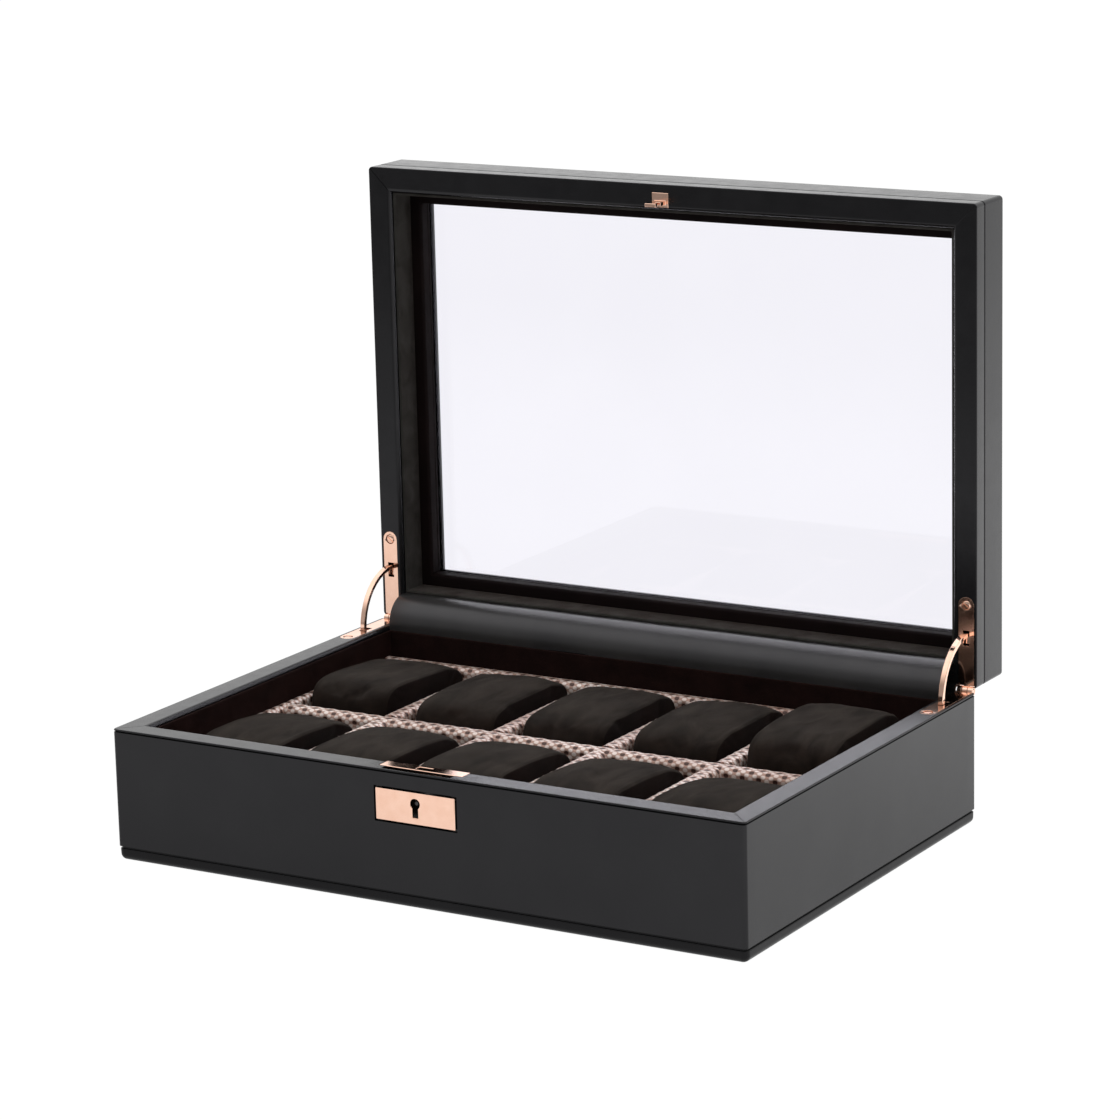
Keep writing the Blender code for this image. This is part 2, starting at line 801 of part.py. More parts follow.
def hang_on_pivot(name, items):
    """Parents the items and their cutters to an empty on the hinge axis, leaving them where they are."""
    pivot = bpy.data.objects.new(name, None)
    pivot.location = (0, AXIS_Y, AXIS_Z)
    bpy.context.collection.objects.link(pivot)
    cutters = {step.object for item in items for step in item.modifiers if step.type == "BOOLEAN"}
    for item in list(items) + sorted(cutters, key=lambda cutter: cutter.name):
        item.parent = pivot
        item.location = item.location - pivot.location
    return pivot


def build():
    clear_scene()
    make_bottom()
    base_walls = make_base_walls()
    make_base_linings()
    make_tray()
    make_cushions()
    make_lock(base_walls["front"])
    lid_rails = make_lid_rails()
    catch = make_catch(lid_rails["front"])
    lid_items = list(lid_rails.values()) + make_lid_inside() + [catch]
    for side in ("left", "right"):
        lid_items += make_hinge(side, base_walls, lid_rails)
    lid_pivot = hang_on_pivot("lid_pivot", lid_items)
    lid_pivot.rotation_euler.x = -OPEN_ANGLE


build()
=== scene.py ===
"""Looks of the watch box: leather, velvet, suede cushions, patterned strips, rose gold and glass.

Metres, +Z up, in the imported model's frame. The lid's pieces are drawn shut and then turned open,
because the box rests with its lid open.
"""

import json
import math

import bmesh
import bpy
import numpy as np
from mathutils import Matrix, Vector, noise

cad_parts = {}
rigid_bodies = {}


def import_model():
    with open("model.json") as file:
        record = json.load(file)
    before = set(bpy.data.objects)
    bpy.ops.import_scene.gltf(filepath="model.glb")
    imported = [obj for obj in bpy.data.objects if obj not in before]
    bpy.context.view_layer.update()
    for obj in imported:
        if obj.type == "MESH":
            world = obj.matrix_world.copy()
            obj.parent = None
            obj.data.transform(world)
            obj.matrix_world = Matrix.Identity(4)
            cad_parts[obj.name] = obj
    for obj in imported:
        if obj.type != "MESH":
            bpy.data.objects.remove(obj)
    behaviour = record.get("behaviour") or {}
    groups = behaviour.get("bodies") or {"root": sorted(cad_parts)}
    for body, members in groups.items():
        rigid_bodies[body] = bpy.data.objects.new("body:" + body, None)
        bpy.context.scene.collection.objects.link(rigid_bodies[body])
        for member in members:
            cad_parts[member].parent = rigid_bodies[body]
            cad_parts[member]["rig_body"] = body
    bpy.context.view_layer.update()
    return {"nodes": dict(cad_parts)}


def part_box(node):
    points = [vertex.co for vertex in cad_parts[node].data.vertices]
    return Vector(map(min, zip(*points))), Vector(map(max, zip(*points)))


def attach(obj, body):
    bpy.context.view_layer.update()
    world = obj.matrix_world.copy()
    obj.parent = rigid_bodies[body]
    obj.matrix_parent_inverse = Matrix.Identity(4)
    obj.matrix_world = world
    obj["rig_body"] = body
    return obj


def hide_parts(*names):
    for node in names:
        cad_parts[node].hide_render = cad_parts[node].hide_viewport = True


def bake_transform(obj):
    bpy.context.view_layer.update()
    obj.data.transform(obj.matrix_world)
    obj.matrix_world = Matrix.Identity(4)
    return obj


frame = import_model()

# Sizes that the CAD nodes give
BASE_LOW, BASE_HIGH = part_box("base_front_panel")
LID_LOW, LID_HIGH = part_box("lid_front_rail")
WIDTH = 2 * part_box("base_right_panel")[1].x
DEPTH = -2 * BASE_LOW.y
BASE_HEIGHT = BASE_HIGH.z
WALL_BOTTOM = BASE_LOW.z + 0.0008
WALL = BASE_HIGH.y - BASE_LOW.y
LID_DEPTH = LID_HIGH.y - LID_LOW.y
AXIS = Vector((0, DEPTH / 2 + 0.0010, BASE_HEIGHT + 0.0002))
RIM = BASE_HEIGHT + 0.0004
LID_TOP = RIM + LID_DEPTH
GAP = 0.0003

# Leather shells
CORNER = 0.0020
OUTER_ROUND = 0.0005
INNER_ROUND = 0.0022
LID_TOP_ROUND = 0.0020
SIDE_SPACING = 0.008
SEAM_DROP = 0.0011
SEAM_HALF = 0.0004
SEAM_DEPTH = 0.0008
LID_GROOVE_HEIGHT = 0.0087
LID_GROOVE = 0.0008
WINDOW_INSET = 0.020
WINDOW_ROUND = 0.0008
LIP_START = 0.0272
LIP_CHAMFER = 0.0006
BEAD_START = 0.0164
BEAD_END = 0.0244
BEAD_ROUND = 0.0015
BEAD_LINE = 0.0018
BEAD_LINE_DEPTH = 0.0004
PLINTH_TOP = 0.0062
PLINTH_TOP_ROUND = 0.0005
PLINTH_LOW = 0.0004
PLINTH_ROUND = 0.0032
PLINTH_CORNER = 0.0034
PLINTH_GROOVE = 0.0008
MITRE_WIDTH = 0.00030
MITRE_DEPTH = 0.00035
MITRE_OUTER_STOP = 0.0009
MITRE_INNER_STOP = 0.0005
SHARP_ANGLE = 35

# Linings and pads
LINING = 0.0012
LINING_ROUND = 0.45 * LINING
LINING_DROP = 0.0022
FLOOR_TOP = 0.0105
PAD_EDGE = 0.0006
PAD_COLUMNS = 80
PAD_ROWS = 56
PAD_DENT_SIZE = 0.02

# Tray strips
COLUMNS = 5
WELL_PITCH = 0.0607
STRIP_WIDTH = 0.0090
STRIP_TOP = 0.0497
STRIP_ROUND = 0.0030
WELL_OUTER_Y = 0.0940
WELL_OUTER_X = COLUMNS * WELL_PITCH / 2 - STRIP_WIDTH / 2
STRIP_STEP_AROUND = 0.0006
STRIP_STEP_ALONG = 0.0007
STRIP_SIDE_DROPS = (0.006, 0.012)
STRIP_RELIEF_REACH = 0.011
LATTICE_X = 0.0085
LATTICE_Y = 0.0066
LATTICE_RELIEF = 0.00018

# Watch cushions, front row from the left and then back row from the left: height of the top at the
# ends, how much it is crowned between them, half of how much lower its back is than its front, and
# how far front and back fall away from the middle
CUSHION_FORMS = (
    (0.0538, 0.0012, 0.0018, 0.0026),
    (0.0540, 0.0016, 0.0018, 0.0026),
    (0.0546, 0.0018, 0.0018, 0.0026),
    (0.0544, 0.0016, 0.0020, 0.0028),
    (0.0536, 0.0014, 0.0024, 0.0030),
    (0.0564, 0.0010, 0.0022, 0.0014),
    (0.0542, 0.0020, 0.0002, 0.0012),
    (0.0544, 0.0020, 0.0000, 0.0012),
    (0.0550, 0.0020, 0.0000, 0.0012),
    (0.0604, 0.0014, -0.0008, 0.0014),
)
CUSHION_POWER = 6.0
CUSHION_BACKWARDS = 0.0010
CUSHION_LENGTHEN = 0.0012
CUSHION_SLACK = 0.0009
CUSHION_CAP = 0.0012
CUSHION_PROUD = 0.0012
CUSHION_STATIONS = 26
CUSHION_POINTS = 64
CUSHION_EDGE = 0.0011
END_SHARE = 0.90
END_BULGE = 0.0007
END_SCALES = (0.90, 0.82, 0.70, 0.55, 0.38, 0.20, 0.07)
WELT_HEIGHT = 0.00028
WELT_SPREAD = 0.0006
CREASE_DEPTH = 0.0003
CREASE_SIZES = (0.006, 0.028, 0.030)
DENT_DEPTH = 0.0006
DENT_SIZES = (0.016, 0.018, 0.016)
DENT_SHIFT = 90
WELT_FACING = 0.8
# How far a face turns to the side, and to the front, to take the painted shade of the cushions' end panels
# and fronts
END_SHADE_FACING = (0.72, 0.87)
FRONT_SHADE_FACING = (0.15, 0.75)
PRESSURE = 4.0
SETTLE_FRAMES = 20

# Hinges and lock
LEAF_THICKNESS = 0.0015
LEAF_LENGTH = 0.0455
LEAF_WIDTH = 0.0080
HINGE_X = WIDTH / 2 - 0.0055
SLOT_INNER = 0.0217
SLOT_OUTER = 0.0292
SLOT_WIDTH = 0.0034
MORTISE_SWEEP = math.radians(58)
MORTISE_RUNOUT = 0.05
AXIS_ROOM_RADIUS = 0.0027
SCREW_HEAD_RADIUS = 0.0022
SCREW_SLOT = 0.0005
SCREW_SLOT_LENGTH = 0.006
SCREW_TURN = math.radians(35)
CATCH_HALF_WIDTH = 0.0045
CATCH_HALF_DEPTH = 0.0038
CATCH_FROM_FRONT = 0.0076
CATCH_SEAT_DEPTH = 0.0015
KEYWAY_HALF_WIDTH = 0.0025
KEYWAY_DEPTH = 0.0088
KEYWAY_LOW = 0.0436
KEYWAY_HIGH = 0.0526
PLATE_SHADOW = 0.0010
CLEAR = 0.002
METAL_EDGE = 0.00025
METAL_EDGE_ANGLE = 40
PIN_EDGE = 0.0001
LOCK_EDGE = 0.0002
GLASS_EDGE = 0.0003

# Leather strips over the hinge line: the broad gusset and the narrow flap behind it
GUSSET_RADIUS = 0.0136
GUSSET_HALF = 0.1552
HINGE_FLAP_RADIUS = 0.0030
HINGE_FLAP_HALF = 0.1576
HINGE_STRIP_THICKNESS = 0.0009
HINGE_STRIP_TUCK = 0.0030
HINGE_STRIP_RIPPLE = 0.00025
HINGE_STRIP_RIPPLE_SIZE = 0.030
RIPPLE_OFFSET = (3.1, 5.27, 1.86)

# Camera
CAMERA_PLACE = (0.9638, -1.59398, 0.58413)
CAMERA_TURN = math.radians(30.91603)
CAMERA_DIP = math.radians(13.49527)
CAMERA_ROLL = math.radians(-1.38138)
CAMERA_LENS = 131.98

# Studio, as brightness where plain white is 1. The gain makes up for what the pane's tint takes.
ROOM_LIGHT = 0.20
OVERHEAD_LIGHT = 1.15
BACK_LIGHT = 0.74
RIGHT_LIGHT = 0.20
LEFT_LIGHT = 0.45
FLOOR_LIGHT = 1.0
FLOOR_NEAR_LOSS = 0.25
FLOOR_FRONT_LOSS = 0.75
FLOOR_BACK_LOSS = 0.55
FLOOR_RIGHT_LIFT = 0.5
FLOOR_BEHIND_LIFT = 0.35
FLOOR_HALF = 6.0
GLASS_GAIN = 0.45

SIDES = ("front", "right", "back", "left")

CORNER_STEPS = 6
ROUND_STEPS = 8


# ---------------------------------------------------------------- materials


def node(tree, kind, inputs=None, **settings):
    """Adds a shader node with its settings and inputs."""
    item = tree.nodes.new(kind)
    for key, value in settings.items():
        setattr(item, key, value)
    feed(tree, item, inputs or {})
    return item


def feed(tree, item, inputs):
    """Gives a node its inputs, each a plain value for the socket itself or another node's output."""
    for key, value in inputs.items():
        connect(tree, value, item.inputs[key])


def connect(tree, value, socket):
    if isinstance(value, bpy.types.NodeSocket):
        tree.links.new(value, socket)
    else:
        socket.default_value = value


def new_material(name):
    material = bpy.data.materials.new(name)
    material.use_nodes = True
    tree = material.node_tree
    return material, tree, tree.nodes["Principled BSDF"]


def place_of(tree, stretch=(1, 1, 1)):
    """The piece's own coordinates in metres, stretched along the axes given."""
    place = node(tree, "ShaderNodeTexCoord").outputs["Object"]
    if stretch == (1, 1, 1):
        return place
    return node(tree, "ShaderNodeMapping", {"Vector": place, "Scale": stretch}).outputs["Vector"]


def cloud(tree, place, size, detail=3.0, distortion=0.0):
    """Soft noise whose blots are about size metres across, from 0 to 1."""
    inputs = {"Vector": place, "Scale": 1 / size, "Detail": detail, "Distortion": distortion}
    return node(tree, "ShaderNodeTexNoise", inputs).outputs["Fac"]


def cells(tree, place, size):
    inputs = {"Vector": place, "Scale": 1 / size}
    return node(tree, "ShaderNodeTexVoronoi", inputs).outputs["Distance"]


def blend_colours(tree, amount, low, high):
    """Runs from colour low to colour high as amount goes from 0.3 to 0.7."""
    ramp = node(tree, "ShaderNodeValToRGB", {"Fac": amount})
    for element, position, colour in zip(ramp.color_ramp.elements, (0.3, 0.7), (low, high)):
        element.position = position
        element.color = (*colour, 1)
    return ramp.outputs["Color"]


def remap(tree, amount, low, high):
    inputs = {"Value": amount, "From Min": 0.3, "From Max": 0.7, "To Min": low, "To Max": high}
    return node(tree, "ShaderNodeMapRange", inputs).outputs["Result"]


def step_up(tree, value, start, end):
    """Goes smoothly from 0 to 1 as the value goes from start to end."""
    inputs = {"Value": value, "From Min": start, "From Max": end}
    item = node(tree, "ShaderNodeMapRange", inputs, interpolation_type="SMOOTHSTEP")
    return item.outputs["Result"]


def mix_colours(tree, amount, low, high, blend_type="MIX"):
    inputs = {"Factor": amount, 6: low, 7: high}
    return node(tree, "ShaderNodeMix", inputs, data_type="RGBA", blend_type=blend_type).outputs[2]


def multiply_colours(tree, first, second):
    return mix_colours(tree, 1.0, first, second, "MULTIPLY")


def maths(tree, operation, *values):
    item = node(tree, "ShaderNodeMath", operation=operation)
    for value, socket in zip(values, item.inputs):
        connect(tree, value, socket)
    return item.outputs[0]


def bumps(tree, shader, layers):
    """Stacks (height, depth in metres) layers into one normal."""
    normal = None
    for height, depth in layers:
        inputs = {"Height": height, "Distance": depth, "Strength": 1.0}
        if normal:
            inputs["Normal"] = normal
        normal = node(tree, "ShaderNodeBump", inputs).outputs["Normal"]
    tree.links.new(normal, shader.inputs["Normal"])


def leather_material(name, tone=(1, 1, 1), gloss=0.0, index=1.37):
    """Black box calf: fine pebbled grain, faint cloudiness and a soft shine.

    tone scales the colour of each channel, and gloss is taken off the roughness.
    """
    material, tree, shader = new_material(name)
    place = place_of(tree)
    cloudy = cloud(tree, place, 0.030)
    smudge = cloud(tree, place, 0.006, 5.0)
    low = [value * share for value, share in zip((0.0032, 0.0032, 0.0036), tone)]
    high = [value * share for value, share in zip((0.0058, 0.0058, 0.0062), tone)]
    inputs = {
        "Base Color": blend_colours(tree, cloudy, low, high),
        "Roughness": remap(tree, smudge, 0.19 - gloss, 0.26 - gloss),
        "IOR": index,
        "Specular Tint": (0.97, 0.955, 1.0, 1),
    }
    feed(tree, shader, inputs)
    pebbles = cells(tree, place, 0.0009)
    fine = cloud(tree, place, 0.0004, 2.0)
    waves = cloud(tree, place, 0.045, 1.0)
    bumps(tree, shader, [(waves, 0.0003), (pebbles, 0.000014), (fine, 0.000006)])
    return material


def velvet_material(name, dark, light):
    """Short-piled velvet, dark with a reddish edge to its sheen."""
    material, tree, shader = new_material(name)
    place = place_of(tree)
    nap = cloud(tree, place, 0.012, 4.0, 0.6)
    pile = cloud(tree, place, 0.0005, 2.0)
    inputs = {
        "Base Color": blend_colours(tree, nap, dark, light),
        "Roughness": 0.95,
        "Specular IOR Level": 0.08,
        "Sheen Weight": 0.25,
        "Sheen Roughness": 0.45,
        "Sheen Tint": (0.14, 0.05, 0.04, 1),
    }
    feed(tree, shader, inputs)
    bumps(tree, shader, [(nap, 0.0004), (pile, 0.00025)])
    return material


def suede_material():
    """Charcoal suede, brushed lighter and darker in patches, with painted shade darkening its front and its
    end panels.
    """
    material, tree, shader = new_material("suede")
    place = place_of(tree)
    brushed = cloud(tree, place_of(tree, (1.0, 0.45, 1.0)), 0.011, 5.0, 0.8)
    fibres = cloud(tree, place, 0.00035, 3.0)
    # The front and end colours are darker copies of the top colour: painted shade on the cushions' fronts
    # and end panels
    top = blend_colours(tree, brushed, (0.0105, 0.0078, 0.0062), (0.0300, 0.0235, 0.0190))
    front = blend_colours(tree, brushed, (0.0060, 0.0036, 0.0024), (0.0160, 0.0100, 0.0074))
    ends = blend_colours(tree, brushed, (0.0022, 0.0006, 0.0004), (0.0060, 0.0018, 0.0012))
    # Masks of the painted shade, stored on each cushion by which way its faces turn
    front_shade_mask = node(tree, "ShaderNodeAttribute", attribute_name="front_painted_shade").outputs["Fac"]
    end_shade_mask = node(tree, "ShaderNodeAttribute", attribute_name="end_painted_shade").outputs["Fac"]
    colour = mix_colours(tree, end_shade_mask, mix_colours(tree, front_shade_mask, top, front), ends)
    speck = blend_colours(tree, fibres, (0.75, 0.75, 0.75), (1.2, 1.2, 1.2))
    inputs = {
        "Base Color": multiply_colours(tree, colour, speck),
        "Roughness": 0.92,
        "Specular IOR Level": 0.12,
        "Sheen Weight": 0.12,
        "Sheen Roughness": 0.5,
        "Sheen Tint": (0.15, 0.12, 0.10, 1),
    }
    feed(tree, shader, inputs)
    bumps(tree, shader, [(brushed, 0.0005), (fibres, 0.00018)])
    return material


def pattern_material():
    """Pale copper cloth woven with a net of cream threads around small dark lozenges."""
    material, tree, shader = new_material("pattern_fabric")
    weave = node(tree, "ShaderNodeUVMap", uv_map="weave").outputs["UV"]
    split = node(tree, "ShaderNodeSeparateXYZ", {"Vector": weave})
    turns = [
        maths(tree, "MULTIPLY", split.outputs[axis], math.tau / period)
        for axis, period in (("X", LATTICE_X), ("Y", LATTICE_Y))
    ]
    cosines = [maths(tree, "COSINE", turn) for turn in turns]
    sines = [maths(tree, "SINE", turn) for turn in turns]
    lattice = maths(tree, "MULTIPLY", *cosines)
    between_marks = maths(tree, "ABSOLUTE", maths(tree, "MULTIPLY", *sines))
    spread = step_up(tree, lattice, -0.72, -0.42)
    crossings = step_up(tree, lattice, 0.45, 0.80)
    marks = step_up(tree, between_marks, 0.50, 0.85)
    knots = maths(tree, "MAXIMUM", crossings, marks)
    threads = cloud(tree, weave, 0.0004, 2.0)
    cream = blend_colours(tree, threads, (0.42, 0.25, 0.20), (0.60, 0.42, 0.35))
    copper = blend_colours(tree, threads, (0.045, 0.020, 0.015), (0.11, 0.055, 0.042))
    pale = blend_colours(tree, threads, (0.88, 0.77, 0.71), (0.98, 0.92, 0.88))
    ground = mix_colours(tree, spread, copper, cream)
    woven = mix_colours(tree, knots, ground, pale)
    shade = blend_colours(tree, cloud(tree, place_of(tree), 0.05, 1.0), (0.60, 0.50, 0.46), (1, 1, 1))
    colour = multiply_colours(tree, woven, shade)
    feed(tree, shader, {"Base Color": colour, "Metallic": 0.35, "Roughness": 0.38})
    bumps(tree, shader, [(spread, 0.00025), (threads, 0.00006)])
    return material


def rose_gold_material():
    """Polished rose gold plate, faintly brushed and smudged."""
    material, tree, shader = new_material("rose_gold")
    brushed = cloud(tree, place_of(tree, (0.04, 1.0, 1.0)), 0.0003, 3.0)
    smudge = cloud(tree, place_of(tree), 0.006, 3.0)
    colour = blend_colours(tree, smudge, (0.90, 0.57, 0.43), (0.95, 0.63, 0.49))
    roughness = remap(tree, smudge, 0.07, 0.13)
    feed(tree, shader, {"Base Color": colour, "Metallic": 1.0, "Roughness": roughness})
    bumps(tree, shader, [(brushed, 0.000003)])
    return material


def steel_material():
    material, tree, shader = new_material("steel")
    brushed = cloud(tree, place_of(tree, (1.0, 1.0, 0.05)), 0.0003, 3.0)
    colour = blend_colours(tree, brushed, (0.05, 0.05, 0.052), (0.09, 0.09, 0.092))
    roughness = remap(tree, brushed, 0.28, 0.42)
    feed(tree, shader, {"Base Color": colour, "Metallic": 1.0, "Roughness": roughness})
    return material


def felt_material():
    material, tree, shader = new_material("felt")
    fibres = cloud(tree, place_of(tree), 0.0008, 4.0, 1.0)
    colour = blend_colours(tree, fibres, (0.008, 0.008, 0.008), (0.022, 0.021, 0.020))
    feed(tree, shader, {"Base Color": colour, "Roughness": 1.0})
    bumps(tree, shader, [(fibres, 0.0003)])
    return material


def glass_material():
    material, tree, shader = new_material("glass")
    film = cloud(tree, place_of(tree), 0.05, 2.0)
    colour = blend_colours(tree, film, (0.882, 0.873, 0.930), (0.892, 0.883, 0.940))
    inputs = {"Base Color": colour, "Roughness": 0.0, "Transmission Weight": 1.0, "IOR": 1.30}
    feed(tree, shader, inputs)
    return material


MATERIALS = {
    "leather": leather_material("leather"),
    # A brighter copy of the box leather: its raised tone is painted light on the gusset's rounded top
    "gusset_painted_light_leather": leather_material("gusset_painted_light_leather", (4.6, 4.4, 4.0), -0.10, 1.50),
    # A darker copy of the box leather: its lowered tone is painted shade where the bottom board meets the
    # floor
    "plinth_painted_shade_leather": leather_material("plinth_painted_shade_leather", (0.6, 0.6, 0.6), -0.10, 1.27),
    "bead_leather": leather_material("bead_leather", (1.5, 0.9, 0.8), -0.35, 1.12),
    "velvet": velvet_material("velvet", (0.0045, 0.0016, 0.0013), (0.0105, 0.0040, 0.0033)),
    "lid_velvet": velvet_material("lid_velvet", (0.0195, 0.0180, 0.0160), (0.0380, 0.0370, 0.0335)),
    "suede": suede_material(),
    "pattern_fabric": pattern_material(),
    "rose_gold": rose_gold_material(),
    "steel": steel_material(),
    "felt": felt_material(),
    "glass": glass_material(),
}


# ---------------------------------------------------------------- shapes


def open_lid():
    """The turn that takes a piece from the shut lid to the open one."""
    turn = Matrix.Rotation(math.radians(-90), 4, "X")
    return Matrix.Translation(AXIS) @ turn @ Matrix.Translation(-AXIS)


LID_OPEN = open_lid()


def add_piece(name, shape, kind, body, nodes=(), place=None, smooth_angle=SHARP_ANGLE):
    """Turns a bmesh into a piece that rides on a body and stands for CAD nodes.

    A piece that still has to be cut or swollen has no body yet.
    """
    bmesh.ops.remove_doubles(shape, verts=shape.verts, dist=0.00003)
    bmesh.ops.recalc_face_normals(shape, faces=shape.faces)
    mesh = bpy.data.meshes.new(name)
    shape.to_mesh(mesh)
    shape.free()
    piece = bpy.data.objects.new(name, mesh)
    bpy.context.scene.collection.objects.link(piece)
    mesh.materials.append(MATERIALS[kind])
    mesh.shade_smooth()
    if smooth_angle:
        mesh.set_sharp_from_angle(angle=math.radians(smooth_angle))
    if place:
        mesh.transform(place)
    if body:
        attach(piece, body)
    if nodes:
        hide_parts(*nodes)
    return piece


def apply_modifiers(piece):
    """Bakes every modifier of a piece into its mesh."""
    view = bpy.context.evaluated_depsgraph_get()
    mesh = bpy.data.meshes.new_from_object(piece.evaluated_get(view), depsgraph=view)
    piece.modifiers.clear()
    old = piece.data
    mesh.name = old.name
    piece.data = mesh
    bpy.data.meshes.remove(old)


def cut_away(piece, cutters):
    """Cuts closed bmesh shapes out of a piece."""
    tools = []
    for index, shape in enumerate(cutters):
        bmesh.ops.recalc_face_normals(shape, faces=shape.faces)
        mesh = bpy.data.meshes.new(f"cutter_{index}")
        shape.to_mesh(mesh)
        shape.free()
        tool = bpy.data.objects.new(f"cutter_{index}", mesh)
        bpy.context.scene.collection.objects.link(tool)
        tools.append(tool)
        step = piece.modifiers.new("cut", "BOOLEAN")
        step.object = tool
        step.operation = "DIFFERENCE"
        step.solver = "EXACT"
    apply_modifiers(piece)
    for tool in tools:
        bpy.data.objects.remove(tool, do_unlink=True)
    piece.data.shade_smooth()
    piece.data.set_sharp_from_angle(angle=math.radians(SHARP_ANGLE))


def even_shading(piece):
    step = piece.modifiers.new("even_shading", "WEIGHTED_NORMAL")
    step.keep_sharp = True
    apply_modifiers(piece)


def soften_edges(piece, width):
    step = piece.modifiers.new("softened_edges", "BEVEL")
    step.width = width
    step.segments = 2
    step.limit_method = "ANGLE"
    step.angle_limit = math.radians(METAL_EDGE_ANGLE)
    step.harden_normals = True
    apply_modifiers(piece)


def arc(centre, radius, start, end, steps=ROUND_STEPS):
    angles = [start + (end - start) * i / steps for i in range(steps + 1)]
    return [(centre[0] + radius * math.cos(a), centre[1] + radius * math.sin(a)) for a in angles]


def loft(rings, closed=False):
    """Joins rings of points; a closed loft ends where it starts, and any other has both ends filled."""
    shape = bmesh.new()
    rows = [[shape.verts.new(point) for point in ring] for ring in rings]
    if closed:
        rows.append(rows[0])
    join_rings(shape, rows)
    if not closed:
        shape.faces.new(rows[0])
        shape.faces.new(rows[-1])
    return shape


def join_rings(shape, rows):
    """Joins each ring of a bmesh's points to the next with a band of faces."""
    for near, far in zip(rows, rows[1:]):
        for i in range(len(near)):
            j = (i + 1) % len(near)
            shape.faces.new((near[i], near[j], far[j], far[i]))


def block(low, high):
    (x0, y0, z0), (x1, y1, z1) = low, high
    outline = [(x0, y0), (x1, y0), (x1, y1), (x0, y1)]
    return loft([[(x, y, z) for x, y in outline] for z in (z0, z1)])


def ring_round_box(inset, height, corner):
    """Points around the box at one inset and height, with rounded corners and evenly split sides."""
    half_x = WIDTH / 2 - inset
    half_y = DEPTH / 2 - inset
    radius = max(corner - inset, 0.00001)
    corners = [(-1, -1, math.pi), (1, -1, 1.5 * math.pi), (1, 1, 0), (-1, 1, 0.5 * math.pi)]
    side_steps = [round(WIDTH / SIDE_SPACING), round(DEPTH / SIDE_SPACING)] * 2
    points = []
    for (sign_x, sign_y, start), steps in zip(corners, side_steps):
        centre = (sign_x * (half_x - radius), sign_y * (half_y - radius))
        turn = arc(centre, radius, start, start + math.pi / 2, CORNER_STEPS)
        if points:
            points += between(points[-1], turn[0], previous_steps)
        points += turn
        previous_steps = steps
    points += between(points[-1], points[0], previous_steps)
    return [(x, y, height) for x, y in points]


def between(start, end, steps):
    """The points that split a straight run into equal steps, without its ends."""
    return [tuple(a + (b - a) * i / steps for a, b in zip(start, end)) for i in range(1, steps)]


def box_frame(section, corner=CORNER):
    """A closed (inset, height) section carried round the box as one continuous frame."""
    return loft([ring_round_box(inset, height, corner) for inset, height in section], closed=True)


def ripple(shape, depth, size):
    """Moves points a little along their normals, so that a large surface isn't perfectly flat."""
    shape.normal_update()
    offset = Vector(RIPPLE_OFFSET)
    moves = [(v, v.normal * depth * noise.noise(v.co / size + offset)) for v in shape.verts]
    for vert, move in moves:
        vert.co += move


def arm_mortise(x, start, end):
    """The curved slot that an arm slides in; angles rise from the front towards the top."""
    outline = arc((0, 0), SLOT_OUTER, start, end) + arc((0, 0), SLOT_INNER, end, start)
    points = [(AXIS.y - a, AXIS.z + b) for a, b in outline]
    return loft([[(x + side, y, z) for y, z in points] for side in (-SLOT_WIDTH / 2, SLOT_WIDTH / 2)])


def leaf_seat(x, low, high):
    half = LEAF_WIDTH / 2 + GAP / 2
    end = AXIS.y - LEAF_LENGTH + LEAF_WIDTH / 2
    outline = [(x + half, AXIS.y), (x - half, AXIS.y)] + arc((x, end), half, math.pi, math.tau, 16)
    return loft([[(a, b, z) for a, b in outline] for z in (low, high)])


def axis_room(x):
    outline = arc((AXIS.y, AXIS.z), AXIS_ROOM_RADIUS, 0, math.tau, 24)[:-1]
    half = LEAF_WIDTH / 2 + GAP
    return loft([[(x + side, y, z) for y, z in outline] for side in (-half, half)])


def hinge_seats(low, high, start, end):
    """The cutters for both hinges: each leaf's seat, the room round its pin and its arm's mortise."""
    cutters = []
    for x in (-HINGE_X, HINGE_X):
        cutters += [leaf_seat(x, low, high), axis_room(x), arm_mortise(x, start, end)]
    return cutters


def mitre_lines(height, wall):
    """Thin diagonal cutters, one for each corner of a flat rim."""
    cutters = []
    for sign_x in (-1, 1):
        for sign_y in (-1, 1):
            ends = []
            for inset in (MITRE_OUTER_STOP, wall - MITRE_INNER_STOP):
                ends.append(Vector((sign_x * (WIDTH / 2 - inset), sign_y * (DEPTH / 2 - inset))))
            outer, inner = ends
            across = (inner - outer).normalized().orthogonal() * MITRE_WIDTH / 2
            outline = [outer + across, inner + across, inner - across, outer - across]
            levels = (height - MITRE_DEPTH, height + MITRE_DEPTH)
            cutters.append(loft([[(p.x, p.y, z) for p in outline] for z in levels]))
    return cutters


def skin_of(name, kind, width=METAL_EDGE):
    """A refined copy of a CAD node: welded, with softened edges and even shading."""
    source = frame["nodes"][name]
    shape = bmesh.new()
    shape.from_mesh(source.data)
    bmesh.ops.remove_doubles(shape, verts=shape.verts, dist=0.000005)
    bmesh.ops.dissolve_limit(shape, angle_limit=math.radians(1), verts=shape.verts, edges=shape.edges)
    bmesh.ops.triangulate(shape, faces=[face for face in shape.faces if len(face.verts) > 4])
    piece = add_piece(f"{name}_skin", shape, kind, None, smooth_angle=METAL_EDGE_ANGLE)
    soften_edges(piece, width)
    even_shading(piece)
    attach(piece, source["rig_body"])
    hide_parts(name)
    return piece


# ---------------------------------------------------------------- leather shells


